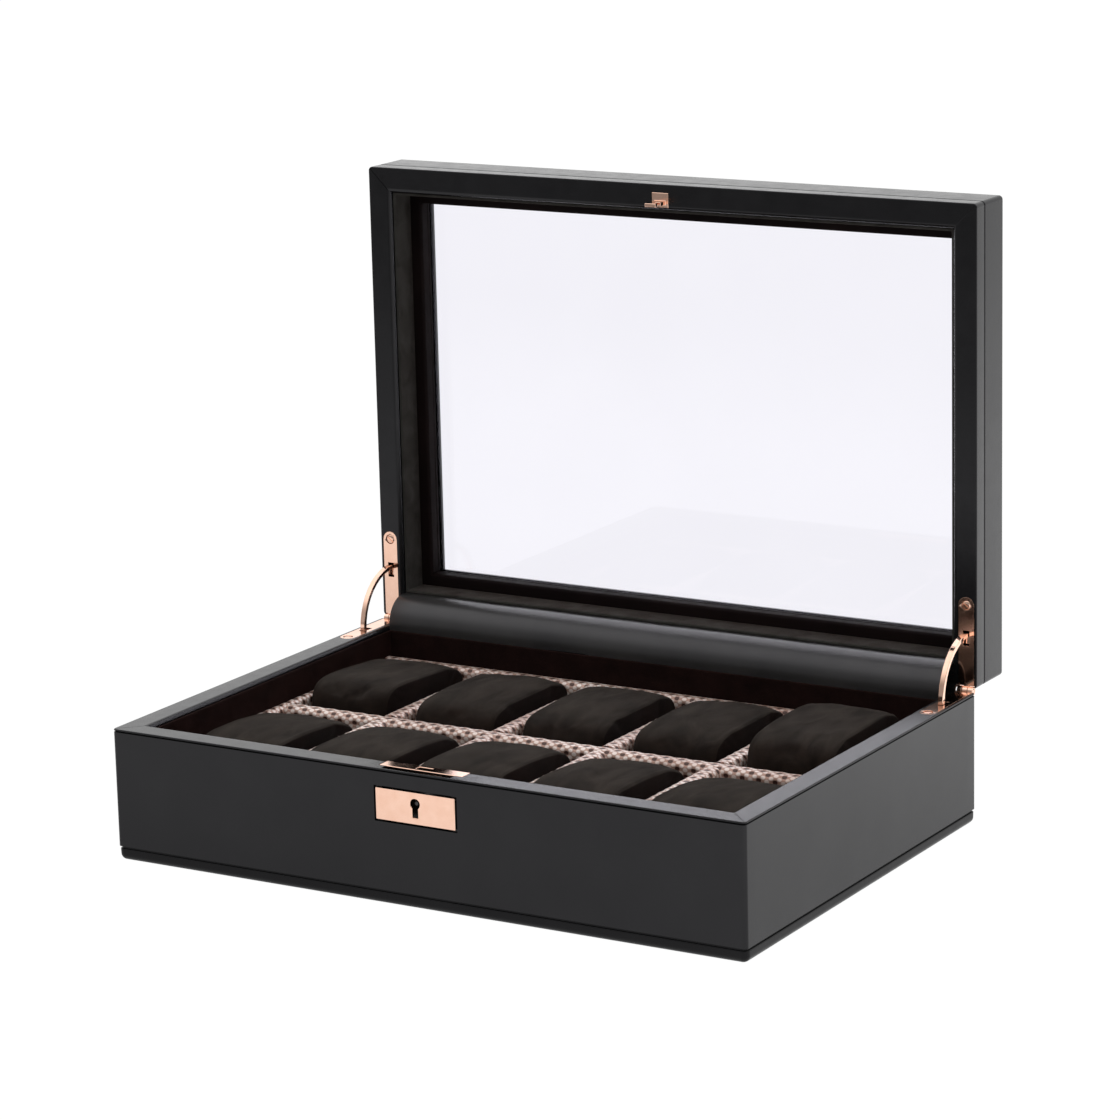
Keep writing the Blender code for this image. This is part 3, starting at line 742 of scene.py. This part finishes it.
def base_shell():
    """The base's four walls as one leather-wrapped frame, with the seats for hinges and lock."""
    seam = BASE_HEIGHT - SEAM_DROP
    section = [
        (0, WALL_BOTTOM),
        (0, (WALL_BOTTOM + seam) / 2),
        (0, seam - 2 * SEAM_HALF),
        (0, seam - SEAM_HALF),
        (SEAM_DEPTH, seam),
        (0, seam + SEAM_HALF),
    ]
    section += arc((OUTER_ROUND, BASE_HEIGHT - OUTER_ROUND), OUTER_ROUND, math.pi, math.pi / 2, 5)
    section += arc((WALL - INNER_ROUND, BASE_HEIGHT - INNER_ROUND), INNER_ROUND, math.pi / 2, 0)
    section += [(WALL, WALL_BOTTOM)]
    shape = box_frame(section)
    piece = add_piece("base_leather", shape, "leather", None)
    face = -DEPTH / 2
    plate_low, plate_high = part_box("keyhole_plate")
    lock_low, lock_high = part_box("lock_plate")
    case_low, case_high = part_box("lock_case")
    grow = Vector((GAP, GAP, GAP))
    above = Vector((0, 0, CLEAR))
    cutters = [
        block(
            plate_low - Vector((PLATE_SHADOW, CLEAR, PLATE_SHADOW)),
            plate_high + Vector((PLATE_SHADOW, GAP, PLATE_SHADOW)),
        ),
        block(lock_low - grow, lock_high + grow + above),
        block(case_low - grow, case_high + grow + above),
        block(
            (-KEYWAY_HALF_WIDTH, face - CLEAR, KEYWAY_LOW),
            (KEYWAY_HALF_WIDTH, face + KEYWAY_DEPTH, KEYWAY_HIGH),
        ),
    ]
    seat = BASE_HEIGHT - LEAF_THICKNESS - GAP
    cutters += hinge_seats(seat, BASE_HEIGHT + CLEAR, -MORTISE_SWEEP, MORTISE_RUNOUT)
    cut_away(piece, cutters + mitre_lines(BASE_HEIGHT, WALL))
    even_shading(piece)
    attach(piece, "base")
    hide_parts(*[f"base_{side}_panel" for side in SIDES])


def lid_shell():
    """The lid's four rails as one leather-wrapped frame around the window."""
    groove = RIM + LID_GROOVE_HEIGHT
    section = arc((OUTER_ROUND, RIM + OUTER_ROUND), OUTER_ROUND, math.pi, math.pi * 1.5, 5)
    section += arc((WALL - INNER_ROUND, RIM + INNER_ROUND), INNER_ROUND, -math.pi / 2, 0)
    section += [
        (WALL, RIM + LIP_START),
        (WINDOW_INSET - LIP_CHAMFER, RIM + LIP_START),
        (WINDOW_INSET, RIM + LIP_START + LIP_CHAMFER),
        (WINDOW_INSET, LID_TOP - WINDOW_ROUND),
    ]
    window_edge = (WINDOW_INSET - WINDOW_ROUND, LID_TOP - WINDOW_ROUND)
    section += arc(window_edge, WINDOW_ROUND, 0, math.pi / 2, 4)
    section += arc((LID_TOP_ROUND, LID_TOP - LID_TOP_ROUND), LID_TOP_ROUND, math.pi / 2, math.pi)
    section += [
        (0, groove + LID_GROOVE),
        (LID_GROOVE * 0.35, groove + LID_GROOVE * 0.45),
        (LID_GROOVE, groove),
        (LID_GROOVE * 0.35, groove - LID_GROOVE * 0.45),
        (0, groove - LID_GROOVE),
    ]
    shape = box_frame(section)
    piece = add_piece("lid_leather", shape, "leather", None)
    catch_half = CATCH_HALF_WIDTH + GAP / 2
    catch_y = -DEPTH / 2 + CATCH_FROM_FRONT
    cutters = [
        block(
            (-catch_half, catch_y - CATCH_HALF_DEPTH, RIM - CLEAR),
            (catch_half, catch_y + CATCH_HALF_DEPTH, RIM + CATCH_SEAT_DEPTH),
        )
    ]
    cutters += hinge_seats(RIM - CLEAR, RIM + LEAF_THICKNESS + GAP, -MORTISE_RUNOUT, MORTISE_SWEEP)
    cut_away(piece, cutters + mitre_lines(RIM, WALL) + mitre_lines(LID_TOP, WINDOW_INSET))
    even_shading(piece)
    piece.data.transform(LID_OPEN)
    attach(piece, "lid")
    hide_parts(*[f"lid_{side}_rail" for side in SIDES])


def glass_bead():
    """The bead in front of the pane, with a fine line run along its inner face."""
    start = WALL + GAP
    section = [(start, RIM + BEAD_END), (start, RIM + BEAD_START)]
    rounded = (WINDOW_INSET - BEAD_ROUND, RIM + BEAD_START + BEAD_ROUND)
    section += arc(rounded, BEAD_ROUND, -math.pi / 2, 0)
    line = RIM + BEAD_END - BEAD_LINE
    section += [
        (WINDOW_INSET, line - BEAD_LINE_DEPTH),
        (WINDOW_INSET - BEAD_LINE_DEPTH, line),
        (WINDOW_INSET, line + BEAD_LINE_DEPTH),
        (WINDOW_INSET, RIM + BEAD_END),
    ]
    nodes = [f"glass_bead_{side}" for side in SIDES]
    add_piece("glass_bead", box_frame(section, 0.0), "bead_leather", "lid", nodes, place=LID_OPEN)


def plinth():
    """The bottom board: rounded under, with a recessed groove above it."""
    rings = []
    for step in range(ROUND_STEPS + 1):
        angle = math.pi / 2 * step / ROUND_STEPS
        inset = PLINTH_ROUND * (1 - math.sin(angle))
        height = PLINTH_LOW + PLINTH_ROUND * (1 - math.cos(angle))
        rings.append(ring_round_box(inset, height, PLINTH_CORNER))
    for step in range(4):
        angle = math.pi / 2 * step / 3
        inset = PLINTH_TOP_ROUND * (1 - math.cos(angle))
        height = PLINTH_TOP - PLINTH_TOP_ROUND * (1 - math.sin(angle))
        rings.append(ring_round_box(inset, height, PLINTH_ROUND))
    rings.append(ring_round_box(PLINTH_GROOVE, PLINTH_TOP, PLINTH_ROUND))
    rings.append(ring_round_box(PLINTH_GROOVE, WALL_BOTTOM - GAP, PLINTH_ROUND))
    piece = add_piece("bottom_board_leather", loft(rings), "plinth_painted_shade_leather", None)
    felt_low, felt_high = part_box("felt_pad")
    grow = Vector((GAP, GAP, GAP))
    cut_away(piece, [block(felt_low - grow - Vector((0, 0, CLEAR)), felt_high + grow)])
    even_shading(piece)
    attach(piece, "base")
    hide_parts("bottom_board")


# ---------------------------------------------------------------- linings


def lining_section(fixed, free):
    """The section of a lining from its fixed edge's height to its free, rounded edge's height."""
    start = WALL + GAP
    end = start + LINING
    side = math.copysign(1, free - fixed)
    rounded = arc((end - LINING_ROUND, free - side * LINING_ROUND), LINING_ROUND, 0, side * math.pi / 2, 4)
    return [(start, fixed), (end, fixed)] + rounded + [(start, free)]


def linings():
    section = lining_section(FLOOR_TOP + GAP, BASE_HEIGHT - LINING_DROP)
    nodes = [f"base_{side}_lining" for side in SIDES]
    add_piece("base_velvet", box_frame(section, 0.0), "velvet", "base", nodes)
    section = lining_section(RIM + BEAD_START - GAP, RIM + LINING_DROP)
    nodes = [f"lid_{side}_lining" for side in SIDES]
    add_piece("lid_velvet", box_frame(section, 0.0), "lid_velvet", "lid", nodes, place=LID_OPEN)


def soft_sheet(name, node_name, kind, depth):
    """A thin board covered in cloth: the CAD node's box with softened edges and an uneven top."""
    low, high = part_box(node_name)
    shape = bmesh.new()
    edge = PAD_EDGE
    layers = []
    for z, shrink in ((low.z, edge), (low.z + edge, 0), (high.z - edge, 0), (high.z, edge)):
        x0, y0, x1, y1 = low.x + shrink, low.y + shrink, high.x - shrink, high.y - shrink
        corners = [(x0, y0), (x1, y0), (x1, y1), (x0, y1)]
        ring = []
        for index, corner in enumerate(corners):
            steps = PAD_ROWS if index % 2 else PAD_COLUMNS
            ring += [corner] + between(corner, corners[(index + 1) % 4], steps)
        layers.append([shape.verts.new((x, y, z)) for x, y in ring])
    join_rings(shape, layers)
    for ring, z in ((layers[0], low.z), (layers[-1], high.z)):
        fill_grid(shape, ring, PAD_COLUMNS, PAD_ROWS, z)
    for vert in shape.verts:
        if vert.co.z > high.z - edge / 2:
            vert.co.z -= depth * abs(noise.noise(vert.co / PAD_DENT_SIZE))
    add_piece(name, shape, kind, frame["nodes"][node_name]["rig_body"], [node_name])


def fill_grid(shape, ring, columns, rows, z):
    """Fills a rectangular ring of points, which starts at its low corner, with a grid of faces."""
    places = [(column, 0) for column in range(columns)]
    places += [(columns, row) for row in range(rows)]
    places += [(column, rows) for column in range(columns, 0, -1)]
    places += [(0, row) for row in range(rows, 0, -1)]
    grid = dict(zip(places, ring))
    for column in range(1, columns):
        for row in range(1, rows):
            x = grid[column, 0].co.x
            y = grid[columns, row].co.y
            grid[column, row] = shape.verts.new((x, y, z))
    for column in range(columns):
        for row in range(rows):
            shape.faces.new(
                (grid[column, row], grid[column + 1, row], grid[column + 1, row + 1], grid[column, row + 1])
            )


# ---------------------------------------------------------------- tray strips


def strip_outline(near, far, low):
    """From a strip's low near side over the top to its low far side, closely spaced near the top."""
    top = STRIP_TOP
    radius = STRIP_ROUND
    upper, lower = (top - drop for drop in STRIP_SIDE_DROPS)
    points = [(near, low), (near, lower), (near, upper)]
    points += between((near, upper), (near, top - radius), 4)
    quarter = max(6, round(radius * math.pi / 2 / STRIP_STEP_AROUND))
    points += arc((near + radius, top - radius), radius, math.pi, math.pi / 2, quarter)
    flat_steps = max(1, round((far - near - 2 * radius) / STRIP_STEP_AROUND))
    points += between((near + radius, top), (far - radius, top), flat_steps)
    points += arc((far - radius, top - radius), radius, math.pi / 2, 0, quarter)
    points += between((far, top - radius), (far, upper), 4)
    points += [(far, upper), (far, lower), (far, low)]
    return points


def strip_mesh(shape, weave, along, start, end, outline):
    """Carries a strip outline from start to end along X or Y, with raised lozenges in its cloth."""
    steps = max(2, round((end - start) / STRIP_STEP_ALONG))
    travelled = [0.0]
    for (a, b), (c, d) in zip(outline, outline[1:]):
        travelled.append(travelled[-1] + math.dist((a, b), (c, d)))
    middle = travelled[-1] / 2
    across = [value - middle for value in travelled]
    facing = outline_normals(outline)
    rows = []
    for step in range(steps + 1):
        place = start + (end - start) * step / steps
        row = []
        for (side, height), around, (out_side, out_up) in zip(outline, across, facing):
            u, v = (place, around) if along == "x" else (around, place)
            relief = LATTICE_RELIEF * math.cos(math.tau * u / LATTICE_X) * math.cos(math.tau * v / LATTICE_Y)
            if abs(around) > STRIP_RELIEF_REACH or step in (0, steps):
                relief = 0.0
            s, h = side + out_side * relief, height + out_up * relief
            row.append(shape.verts.new((place, s, h) if along == "x" else (s, place, h)))
        rows.append((place, row))
    for (place_a, near), (place_b, far) in zip(rows, rows[1:]):
        for i in range(len(outline) - 1):
            face = shape.faces.new((near[i], near[i + 1], far[i + 1], far[i]))
            left, right = across[i], across[i + 1]
            corners = [(place_a, left), (place_a, right), (place_b, right), (place_b, left)]
            for loop, (place, around) in zip(face.loops, corners):
                loop[weave].uv = (place, around) if along == "x" else (around, place)
    for _, row in (rows[0], rows[-1]):
        face = shape.faces.new(row)
        for loop in face.loops:
            loop[weave].uv = (loop.vert.co.x + loop.vert.co.y, loop.vert.co.z)
    bottom = shape.faces.new([row[0] for _, row in rows] + [row[-1] for _, row in reversed(rows)])
    for loop in bottom.loops:
        loop[weave].uv = (loop.vert.co.x, loop.vert.co.y)


def outline_normals(outline):
    """The outward direction at each point of an open outline drawn up, over and down."""
    normals = []
    for index in range(len(outline)):
        a = outline[max(index - 1, 0)]
        b = outline[min(index + 1, len(outline) - 1)]
        length = math.dist(a, b) or 1.0
        normals.append(((a[1] - b[1]) / length, (b[0] - a[0]) / length))
    return normals


def add_strip(name, node_name, runs):
    shape = bmesh.new()
    weave = shape.loops.layers.uv.new("weave")
    for along, start, end, outline in runs:
        strip_mesh(shape, weave, along, start, end, outline)
    add_piece(name, shape, "pattern_fabric", "base", [node_name], smooth_angle=50)


def tray_strips():
    low = FLOOR_TOP + GAP
    half = STRIP_WIDTH / 2
    strip = strip_outline(-half, half, low)
    run = ("x", GAP - WELL_OUTER_X, WELL_OUTER_X - GAP, strip)
    add_strip("centre_divider_cloth", "tray_centre_divider", [run])
    for number in range(1, COLUMNS):
        x = WELL_PITCH * (number - COLUMNS / 2)
        outline = [(x + a, b) for a, b in strip]
        clear = half + GAP / 2
        runs = [
            ("y", GAP - WELL_OUTER_Y, -clear, outline),
            ("y", clear, WELL_OUTER_Y - GAP, outline),
        ]
        add_strip(f"cross_divider_cloth_{number}", f"tray_cross_divider_{number}", runs)
    for side in SIDES:
        box_low, box_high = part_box(f"tray_{side}_border")
        along, across = (0, 1) if side in ("front", "back") else (1, 0)
        outline = strip_outline(box_low[across], box_high[across], low)
        run = ("xy"[along], box_low[along], box_high[along], outline)
        add_strip(f"{side}_border_cloth", f"tray_{side}_border", [run])


# ---------------------------------------------------------------- cushions


def cushion_ring(centre, half, form, share, scale=1.0):
    """One section across a cushion: a squarish oval, crowned and tilted on its upper half.

    share runs from -1 to 1 along the cushion, and scale shrinks the section towards its middle.
    """
    end_top, crown, tilt, fall = form
    low = centre.z - half.z
    depth = half.y * (1 - (1 - END_SHARE) * abs(share) ** 6)
    rise = (end_top - low) / 2
    ring = []
    for step in range(CUSHION_POINTS):
        angle = math.tau * step / CUSHION_POINTS
        across, up = math.cos(angle), math.sin(angle)
        across = math.copysign(abs(across) ** (2 / CUSHION_POWER), across)
        up = math.copysign(abs(up) ** (2 / CUSHION_POWER), up)
        domed = crown * (1 - share * share) * (1 - across * across) - fall * across * across
        lift = max(up, 0) * (domed - tilt * across)
        y = centre.y + depth * across * scale
        z = low + rise + (rise * up + lift) * scale
        ring.append((y, z))
    return ring


def cushion_mesh(name, form):
    """A slightly slack cushion: a barrel of sections between two flat end panels with a tight edge."""
    low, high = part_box(name)
    centre = (low + high) / 2
    centre.y += CUSHION_BACKWARDS
    half = (high - low) / 2 - Vector((CUSHION_SLACK, CUSHION_SLACK - CUSHION_LENGTHEN, CUSHION_SLACK / 2))
    reach = half.x - CUSHION_EDGE
    stations = []
    for step in range(CUSHION_STATIONS + 1):
        share = 2 * step / CUSHION_STATIONS - 1
        stations.append((share * reach, share, 1.0))
    ends = []
    for step in (1, 2, 3):
        angle = math.pi / 2 * step / 3
        inset = CUSHION_EDGE * (1 - math.cos(angle)) / half.z
        ends.append((reach + CUSHION_EDGE * math.sin(angle), 1.0, 1 - inset))
    for scale in END_SCALES:
        ends.append((half.x + END_BULGE * (1 - scale * scale), 1.0, scale))
    mirrored = [(-x, -share, scale) for x, share, scale in reversed(ends)]
    rings = []
    for x, share, scale in mirrored + stations + ends:
        rings.append([(centre.x + x, y, z) for y, z in cushion_ring(centre, half, form, share, scale)])
    return loft(rings)


def cushions():
    """Ten padded cushions, swollen by cloth simulation and then given their sewn end seams."""
    pieces = []
    for number, form in enumerate(CUSHION_FORMS, start=1):
        name = f"watch_cushion_{number}"
        piece = add_piece(f"suede_cushion_{number}", cushion_mesh(name, form), "suede", None, smooth_angle=0)
        pieces.append((name, piece))
    swell([piece for _, piece in pieces])
    for name, piece in pieces:
        finish_cushion(name, piece)


def swell(pieces):
    """Pumps the cushions up as cloth, all at once, and keeps each point near where it started."""
    scene = bpy.context.scene
    starts = {}
    for piece in pieces:
        starts[piece.name] = points_of(piece)
        cloth = piece.modifiers.new("cloth", "CLOTH")
        settings = cloth.settings
        settings.use_pressure = True
        settings.uniform_pressure_force = PRESSURE
        settings.effector_weights.gravity = 0.0
        settings.mass = 0.2
        settings.tension_stiffness = 12.0
        settings.compression_stiffness = 12.0
        settings.shear_stiffness = 4.0
        settings.bending_stiffness = 0.4
        settings.shrink_min = -0.04
        cloth.point_cache.frame_start = 1
        cloth.point_cache.frame_end = SETTLE_FRAMES
    for number in range(1, SETTLE_FRAMES + 1):
        scene.frame_set(number)
    for piece in pieces:
        apply_modifiers(piece)
    scene.frame_set(1)
    for piece in pieces:
        start = starts[piece.name]
        moved = points_of(piece) - start
        length = np.linalg.norm(moved, axis=1, keepdims=True)
        share = np.minimum(1.0, CUSHION_CAP / np.maximum(length, 1e-9))
        set_points(piece, start + moved * share)


def points_of(piece):
    places = np.zeros(len(piece.data.vertices) * 3)
    piece.data.vertices.foreach_get("co", places)
    return places.reshape(-1, 3)


def set_points(piece, places):
    piece.data.vertices.foreach_set("co", places.astype(np.float32).ravel())
    piece.data.update()


def finish_cushion(name, piece):
    """Adds the welts round the end panels, the creases and the soft dents of a stuffed suede cover, and
    stores where painted shade darkens its front and its end panels.
    """
    low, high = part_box(name)
    middle = (low + high) / 2
    half = (high - low) / 2
    step = piece.modifiers.new("smoother", "SUBSURF")
    step.levels = 1
    step.render_levels = 1
    apply_modifiers(piece)
    shape = bmesh.new()
    shape.from_mesh(piece.data)
    shape.normal_update()
    # Masks of the painted shade on the end panels and the front, by which way each face turns
    end_shade_mask = shape.verts.layers.float.new("end_painted_shade")
    front_shade_mask = shape.verts.layers.float.new("front_painted_shade")
    welt_place = half.x - CUSHION_SLACK - CUSHION_EDGE
    moves = []
    for vert in shape.verts:
        place = vert.co
        sideways = abs(place.x - middle.x)
        facing = abs(vert.normal.x)
        welt = math.exp(-(((sideways - welt_place) / WELT_SPREAD) ** 2)) * (facing < WELT_FACING)
        creases = noise.noise(Vector([a / size for a, size in zip(place, CREASE_SIZES)]))
        dent_place = [a / size for a, size in zip(place, DENT_SIZES)]
        dent_place[2] += middle.x * DENT_SHIFT
        dents = noise.noise(Vector(dent_place))
        wear = (1 - facing) * (CREASE_DEPTH * creases + DENT_DEPTH * dents)
        moves.append(vert.normal * (wear + WELT_HEIGHT * welt))
        vert[end_shade_mask] = np.interp(facing, END_SHADE_FACING, (0, 1))
        vert[front_shade_mask] = np.interp(-vert.normal.y, FRONT_SHADE_FACING, (0, 1))
    for vert, move in zip(shape.verts, moves):
        vert.co += move
    shape.to_mesh(piece.data)
    shape.free()
    proud = np.array((CUSHION_PROUD / 2, CUSHION_PROUD * 2, CUSHION_PROUD))
    set_points(piece, np.clip(points_of(piece), np.array(low) - proud, np.array(high) + proud))
    piece.data.shade_smooth()
    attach(piece, name.replace("watch_", ""))
    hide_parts(name)


# ---------------------------------------------------------------- hinges, lock and glass


def screw_heads():
    """Countersunk screws with a slotted head, drawn from (radius, depth) stations."""
    for body, face, into in (("base", BASE_HEIGHT, -1), ("lid", RIM, 1)):
        for side, x in (("left", -HINGE_X), ("right", HINGE_X)):
            name = f"hinge_{body}_screw_{side}"
            y = AXIS.y - LEAF_LENGTH + LEAF_WIDTH / 2
            stations = [
                (0.0009, 0.0000),
                (0.0016, 0.00005),
                (SCREW_HEAD_RADIUS - 0.0001, 0.00022),
                (SCREW_HEAD_RADIUS, 0.00035),
                (SCREW_HEAD_RADIUS, 0.0008),
                (0.0010, 0.0015),
                (0.0010, 0.0080),
            ]
            rings = [
                [(a, b, face + into * depth) for a, b in arc((x, y), radius, 0, math.tau, 32)[:-1]]
                for radius, depth in stations
            ]
            piece = add_piece(f"{name}_skin", loft(rings), "rose_gold", None)
            middle = Vector((x, y, face))
            reach = Vector((SCREW_SLOT_LENGTH / 2, SCREW_SLOT / 2, SCREW_SLOT))
            slot = block(middle - reach, middle + reach)
            turn = Matrix.Rotation(SCREW_TURN, 3, "Z")
            bmesh.ops.rotate(slot, verts=slot.verts, cent=middle, matrix=turn)
            cut_away(piece, [slot])
            if body == "lid":
                piece.data.transform(LID_OPEN)
            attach(piece, body)
            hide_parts(name)


def hardware():
    for name in ("keyhole_plate", "lock_plate", "lid_catch"):
        skin_of(name, "rose_gold")
    for side in ("left", "right"):
        for name in ("hinge_base_leaf", "hinge_lid_leaf", "quadrant_arm"):
            skin_of(f"{name}_{side}", "rose_gold")
        skin_of(f"hinge_pin_{side}", "rose_gold", PIN_EDGE)
    screw_heads()
    for name in ("lock_case", "lock_bolt"):
        skin_of(name, "steel", LOCK_EDGE)


def hinge_strip(name, outer, half_length, kind):
    """A strip of leather round the hinge line, tucked into the base's rear wall and the lid's rear rail."""
    inner = outer - HINGE_STRIP_THICKNESS
    centre = (AXIS.y, AXIS.z)

    def path(radius):
        tuck_base = (AXIS.y - radius, AXIS.z - HINGE_STRIP_TUCK)
        tuck_lid = (AXIS.y + HINGE_STRIP_TUCK, AXIS.z + radius)
        curve = arc(centre, radius, math.pi, math.pi / 2, 18)
        return (
            [tuck_base]
            + between(tuck_base, curve[0], 3)
            + curve
            + between(curve[-1], tuck_lid, 3)
            + [tuck_lid]
        )

    outline = path(outer) + path(inner)[::-1]
    steps = 120
    rings = []
    for step in range(steps + 1):
        x = half_length * (2 * step / steps - 1)
        rings.append([(x, y, z) for y, z in outline])
    shape = loft(rings)
    ripple(shape, HINGE_STRIP_RIPPLE, HINGE_STRIP_RIPPLE_SIZE)
    piece = add_piece(name, shape, kind, None, smooth_angle=50)
    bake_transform(piece)


# ---------------------------------------------------------------- stage


def stage():
    scene = bpy.context.scene
    camera_data = bpy.data.cameras.new("camera")
    camera = bpy.data.objects.new("camera", camera_data)
    scene.collection.objects.link(camera)
    camera_data.lens = CAMERA_LENS
    camera_data.sensor_width = 36
    camera_data.clip_end = 20
    ahead = Vector(
        (
            -math.sin(CAMERA_TURN) * math.cos(CAMERA_DIP),
            math.cos(CAMERA_TURN) * math.cos(CAMERA_DIP),
            -math.sin(CAMERA_DIP),
        )
    )
    level = Vector((math.cos(CAMERA_TURN), math.sin(CAMERA_TURN), 0))
    above = level.cross(ahead)
    right = math.cos(CAMERA_ROLL) * level + math.sin(CAMERA_ROLL) * above
    up = math.cos(CAMERA_ROLL) * above - math.sin(CAMERA_ROLL) * level
    turn = Matrix((right, up, -ahead)).transposed().to_4x4()
    camera.matrix_world = Matrix.Translation(CAMERA_PLACE) @ turn
    scene.camera = camera
    scene.view_settings.view_transform = "Standard"

    make_surroundings(scene)
    make_floor(scene)


def seen_or_lighting(tree, lighting):
    """Plain white to the eye and through glass, and the studio's own brightness everywhere else."""
    rays = node(tree, "ShaderNodeLightPath")
    through = maths(tree, "GREATER_THAN", rays.outputs["Transmission Depth"], 0.5)
    lift = maths(tree, "MULTIPLY_ADD", through, GLASS_GAIN, 1.0)
    lighting = maths(tree, "MULTIPLY", lighting, lift)
    bounces = maths(tree, "ADD", rays.outputs["Glossy Depth"], rays.outputs["Diffuse Depth"])
    direct = maths(tree, "LESS_THAN", bounces, 0.5)
    return node(tree, "ShaderNodeMix", {0: direct, 2: lighting, 3: 1.0}).outputs[0]


def total(tree, *values):
    result = values[0]
    for value in values[1:]:
        result = maths(tree, "ADD", result, value)
    return result


def make_surroundings(scene):
    """A bright ceiling, a soft backdrop, weaker screens at the sides and a dark room behind the camera."""
    world = bpy.data.worlds.new("studio")
    scene.world = world
    world.use_nodes = True
    tree = world.node_tree
    towards = node(tree, "ShaderNodeTexCoord").outputs["Generated"]
    axes = node(tree, "ShaderNodeSeparateXYZ", {"Vector": towards})
    high_up = step_up(tree, axes.outputs["Z"], 0.30, 0.75)
    low_down = maths(tree, "SUBTRACT", 1.0, high_up)
    leftness = maths(tree, "MULTIPLY", axes.outputs["X"], -1.0)
    back = maths(tree, "MULTIPLY", step_up(tree, axes.outputs["Y"], 0.0, 0.8), BACK_LIGHT)
    right = maths(tree, "MULTIPLY", step_up(tree, axes.outputs["X"], 0.1, 0.9), RIGHT_LIGHT)
    left = maths(tree, "MULTIPLY", step_up(tree, leftness, 0.1, 0.9), LEFT_LIGHT)
    sides = maths(tree, "MULTIPLY", total(tree, back, right, left), low_down)
    overhead = maths(tree, "MULTIPLY", high_up, OVERHEAD_LIGHT)
    lighting = total(tree, sides, overhead, ROOM_LIGHT)
    inputs = {"Color": (1, 1, 1, 1), "Strength": seen_or_lighting(tree, lighting)}
    feed(tree, tree.nodes["Background"], inputs)


def make_floor(scene):
    """A pale floor whose glow falls off to the front and far back, as a lit table's does."""
    floor_shape = bmesh.new()
    bmesh.ops.create_grid(floor_shape, x_segments=1, y_segments=1, size=FLOOR_HALF)
    mesh = bpy.data.meshes.new("floor")
    floor_shape.to_mesh(mesh)
    floor_shape.free()
    floor = bpy.data.objects.new("floor", mesh)
    scene.collection.objects.link(floor)
    material, tree, shader = new_material("pale_floor")
    axes = node(tree, "ShaderNodeSeparateXYZ", {"Vector": place_of(tree)})
    forwards = maths(tree, "MULTIPLY", axes.outputs["Y"], -1.0)
    losses = [
        maths(tree, "MULTIPLY", step_up(tree, forwards, 0.30, 0.05), FLOOR_NEAR_LOSS),
        maths(tree, "MULTIPLY", step_up(tree, forwards, 0.45, 1.05), FLOOR_FRONT_LOSS),
        maths(tree, "MULTIPLY", step_up(tree, axes.outputs["Y"], 0.5, 1.8), FLOOR_BACK_LOSS),
    ]
    lifts = [
        maths(tree, "MULTIPLY", step_up(tree, axes.outputs["X"], -0.1, 0.5), FLOOR_RIGHT_LIFT),
        maths(tree, "MULTIPLY", step_up(tree, axes.outputs["Y"], 0.0, 0.4), FLOOR_BEHIND_LIFT),
    ]
    lighting = maths(tree, "SUBTRACT", total(tree, FLOOR_LIGHT, *lifts), total(tree, *losses))
    inputs = {
        "Base Color": (0.02, 0.02, 0.02, 1),
        "Roughness": 1.0,
        "Specular IOR Level": 0.0,
        "Emission Color": (1, 1, 1, 1),
        "Emission Strength": seen_or_lighting(tree, lighting),
    }
    feed(tree, shader, inputs)
    mesh.materials.append(material)


base_shell()
lid_shell()
glass_bead()
plinth()
linings()
soft_sheet("tray_floor_velvet", "tray_floor", "velvet", 0.0004)
soft_sheet("felt_pad_cloth", "felt_pad", "felt", 0.0)
tray_strips()
cushions()
hardware()
skin_of("glass_pane", "glass", GLASS_EDGE)
hinge_strip("hinge_gusset", GUSSET_RADIUS, GUSSET_HALF, "gusset_painted_light_leather")
hinge_strip("hinge_flap", HINGE_FLAP_RADIUS, HINGE_FLAP_HALF, "leather")
stage()
